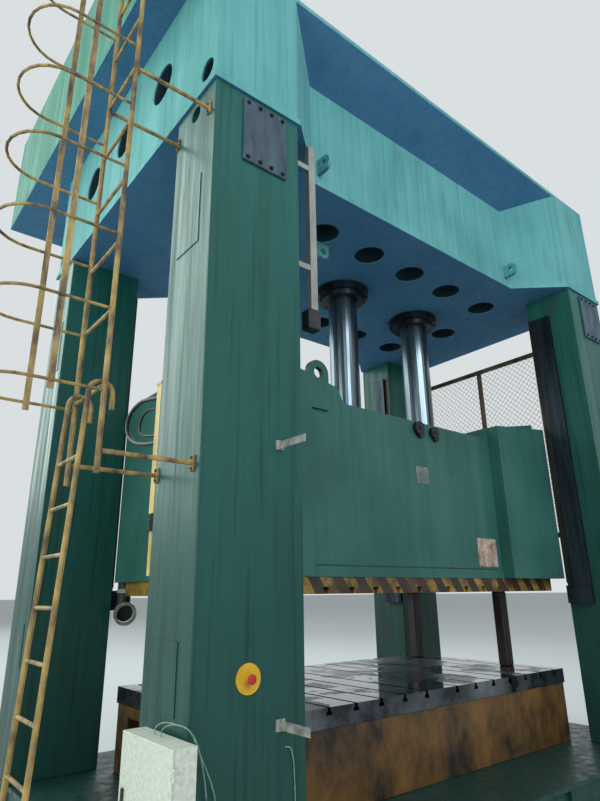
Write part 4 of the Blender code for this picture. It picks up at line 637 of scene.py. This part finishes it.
# The hydraulic hoses behind the left front column: black rubber over wire braid, satin and stiff, looping out
# of the column's rear face and back into it. The two loops are what shows through the gap.
def hose(name, knots, radius, material):
    """A cord on a smooth curve through its knots, both ends in the object."""
    route = []
    for i in range(len(knots) - 1):
        before, start = Vector(knots[max(i - 1, 0)]), Vector(knots[i])
        end, after = Vector(knots[i + 1]), Vector(knots[min(i + 2, len(knots) - 1)])
        for t in (0.0, 1 / 3, 2 / 3):
            route.append(0.5 * (2 * start + (end - before) * t
                                + (2 * before - 5 * start + 4 * end - after) * t ** 2
                                + (3 * start - before - 3 * end + after) * t ** 3))
    route.append(Vector(knots[-1]))
    line = bpy.data.curves.new(name, "CURVE")
    line.dimensions = "3D"
    line.bevel_depth = radius
    line.bevel_resolution = 3
    line.use_fill_caps = True
    spline = line.splines.new("POLY")
    spline.points.add(len(route) - 1)
    for point, spot in zip(spline.points, route):
        point.co = (*spot, 1.0)
    line.materials.append(material)
    made = bpy.data.objects.new(name, line)
    scene.collection.objects.link(made)
    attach(made, "frame")
    return made


PRESSURE_HOSE_RADIUS, RETURN_HOSE_RADIUS = 0.017, 0.011
hose_rubber = mottled_finish("black_hose_rubber", "#1A1A1D", "#0E0E10", 0.5, 0.0, 50, bump=0.1)
hose("pressure_hose", [(-2.93, -1.326, 3.40), (-2.935, -1.10, 3.41), (-2.94, -0.84, 3.438),
                       (-2.945, -0.60, 3.472), (-2.95, -0.42, 3.435), (-2.95, -0.325, 3.345),
                       (-2.95, -0.37, 3.225), (-2.95, -0.53, 3.128), (-2.95, -0.75, 3.072),
                       (-2.945, -0.92, 3.05), (-2.94, -1.10, 3.04), (-2.935, -1.326, 3.04)],
     PRESSURE_HOSE_RADIUS, hose_rubber)
hose("return_hose", [(-2.88, -1.326, 3.33), (-2.885, -1.10, 3.34), (-2.89, -0.87, 3.354),
                     (-2.90, -0.66, 3.395), (-2.90, -0.535, 3.37), (-2.90, -0.475, 3.29),
                     (-2.90, -0.535, 3.205), (-2.90, -0.72, 3.155), (-2.895, -0.89, 3.134),
                     (-2.89, -1.10, 3.125), (-2.885, -1.326, 3.12)],
     RETURN_HOSE_RADIUS, hose_rubber)

# The wires of the control box: two thin green-sheathed wires that come out of its lid, hang over its
# edge, and run down the column's front face into it. The sheath is soft plastic with a faint shine.
WIRE_SHEATH_RADIUS = 0.0035
wire_sheath = mottled_finish("green_wire_sheath", "#7FA79A", "#4F7468", 0.5, 0.0, 50, bump=0.05)
box_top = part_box("control_box")[1][2]
column_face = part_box("column_front_left")[0][1]
for name, start_y, down_x in (("first", -1.72, -2.99), ("second", -1.80, -2.94)):
    hose("box_wire_" + name, [(-3.20, start_y, box_top), (-3.20, start_y - 0.01, box_top + 0.04),
                              (-3.18, start_y - 0.09, box_top + 0.07), (-3.13, -1.98, box_top + 0.05),
                              (-3.07, -2.00, box_top - 0.07), (down_x - 0.02, -1.975, box_top - 0.28),
                              (down_x, column_face - 0.008, 0.72), (down_x + 0.01, column_face - 0.008, 0.60),
                              (down_x + 0.01, column_face - 0.001, 0.54)],
         WIRE_SHEATH_RADIUS, wire_sheath)

# A third wire of the same kind comes out of the column's front just under the lower stub bar, bends down
# and goes back in near the floor.
hose("bar_wire", [(-2.463, column_face, 1.055), (-2.440, column_face - 0.020, 1.050),
                  (-2.418, column_face - 0.014, 0.996), (-2.405, column_face - 0.008, 0.92),
                  (-2.400, column_face - 0.008, 0.80), (-2.398, column_face - 0.008, 0.62),
                  (-2.398, column_face - 0.001, 0.56)],
     WIRE_SHEATH_RADIUS, wire_sheath)

# The steel pipes on the deck: drawn tube painted with the tank, from the valve block to each cylinder. Each
# one leaves the block, turns along the deck, and turns again to its cylinder.
PIPE_RADIUS, PIPE_SIDES, CYLINDER_REACH = 0.02, 12, 0.38
block_low, block_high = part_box("valve_block")
toward = 1 if (block_low[1] + block_high[1]) / 2 < 0 else -1
face_y = block_high[1] if toward > 0 else block_low[1]
pipes = bmesh.new()
for i, name in enumerate(("left", "centre", "right")):
    low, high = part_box("cylinder_" + name)
    centre_x = (low[0] + high[0]) / 2
    start_x = block_low[0] + (block_high[0] - block_low[0]) * (i + 0.5) / 3
    level = block_low[2] + 0.12 + 0.07 * i
    turn_y = face_y + toward * (0.10 + 0.06 * i)
    for start, end in (((start_x, face_y, level), (start_x, turn_y + toward * PIPE_RADIUS, level)),
                       ((start_x, turn_y, level), (centre_x, turn_y, level)),
                       ((centre_x, turn_y, level), (centre_x, -toward * CYLINDER_REACH, level))):
        add_bar(pipes, start, end, PIPE_RADIUS, PIPE_SIDES)
piece("deck_pipes", pipes, tank_enamel, "frame")
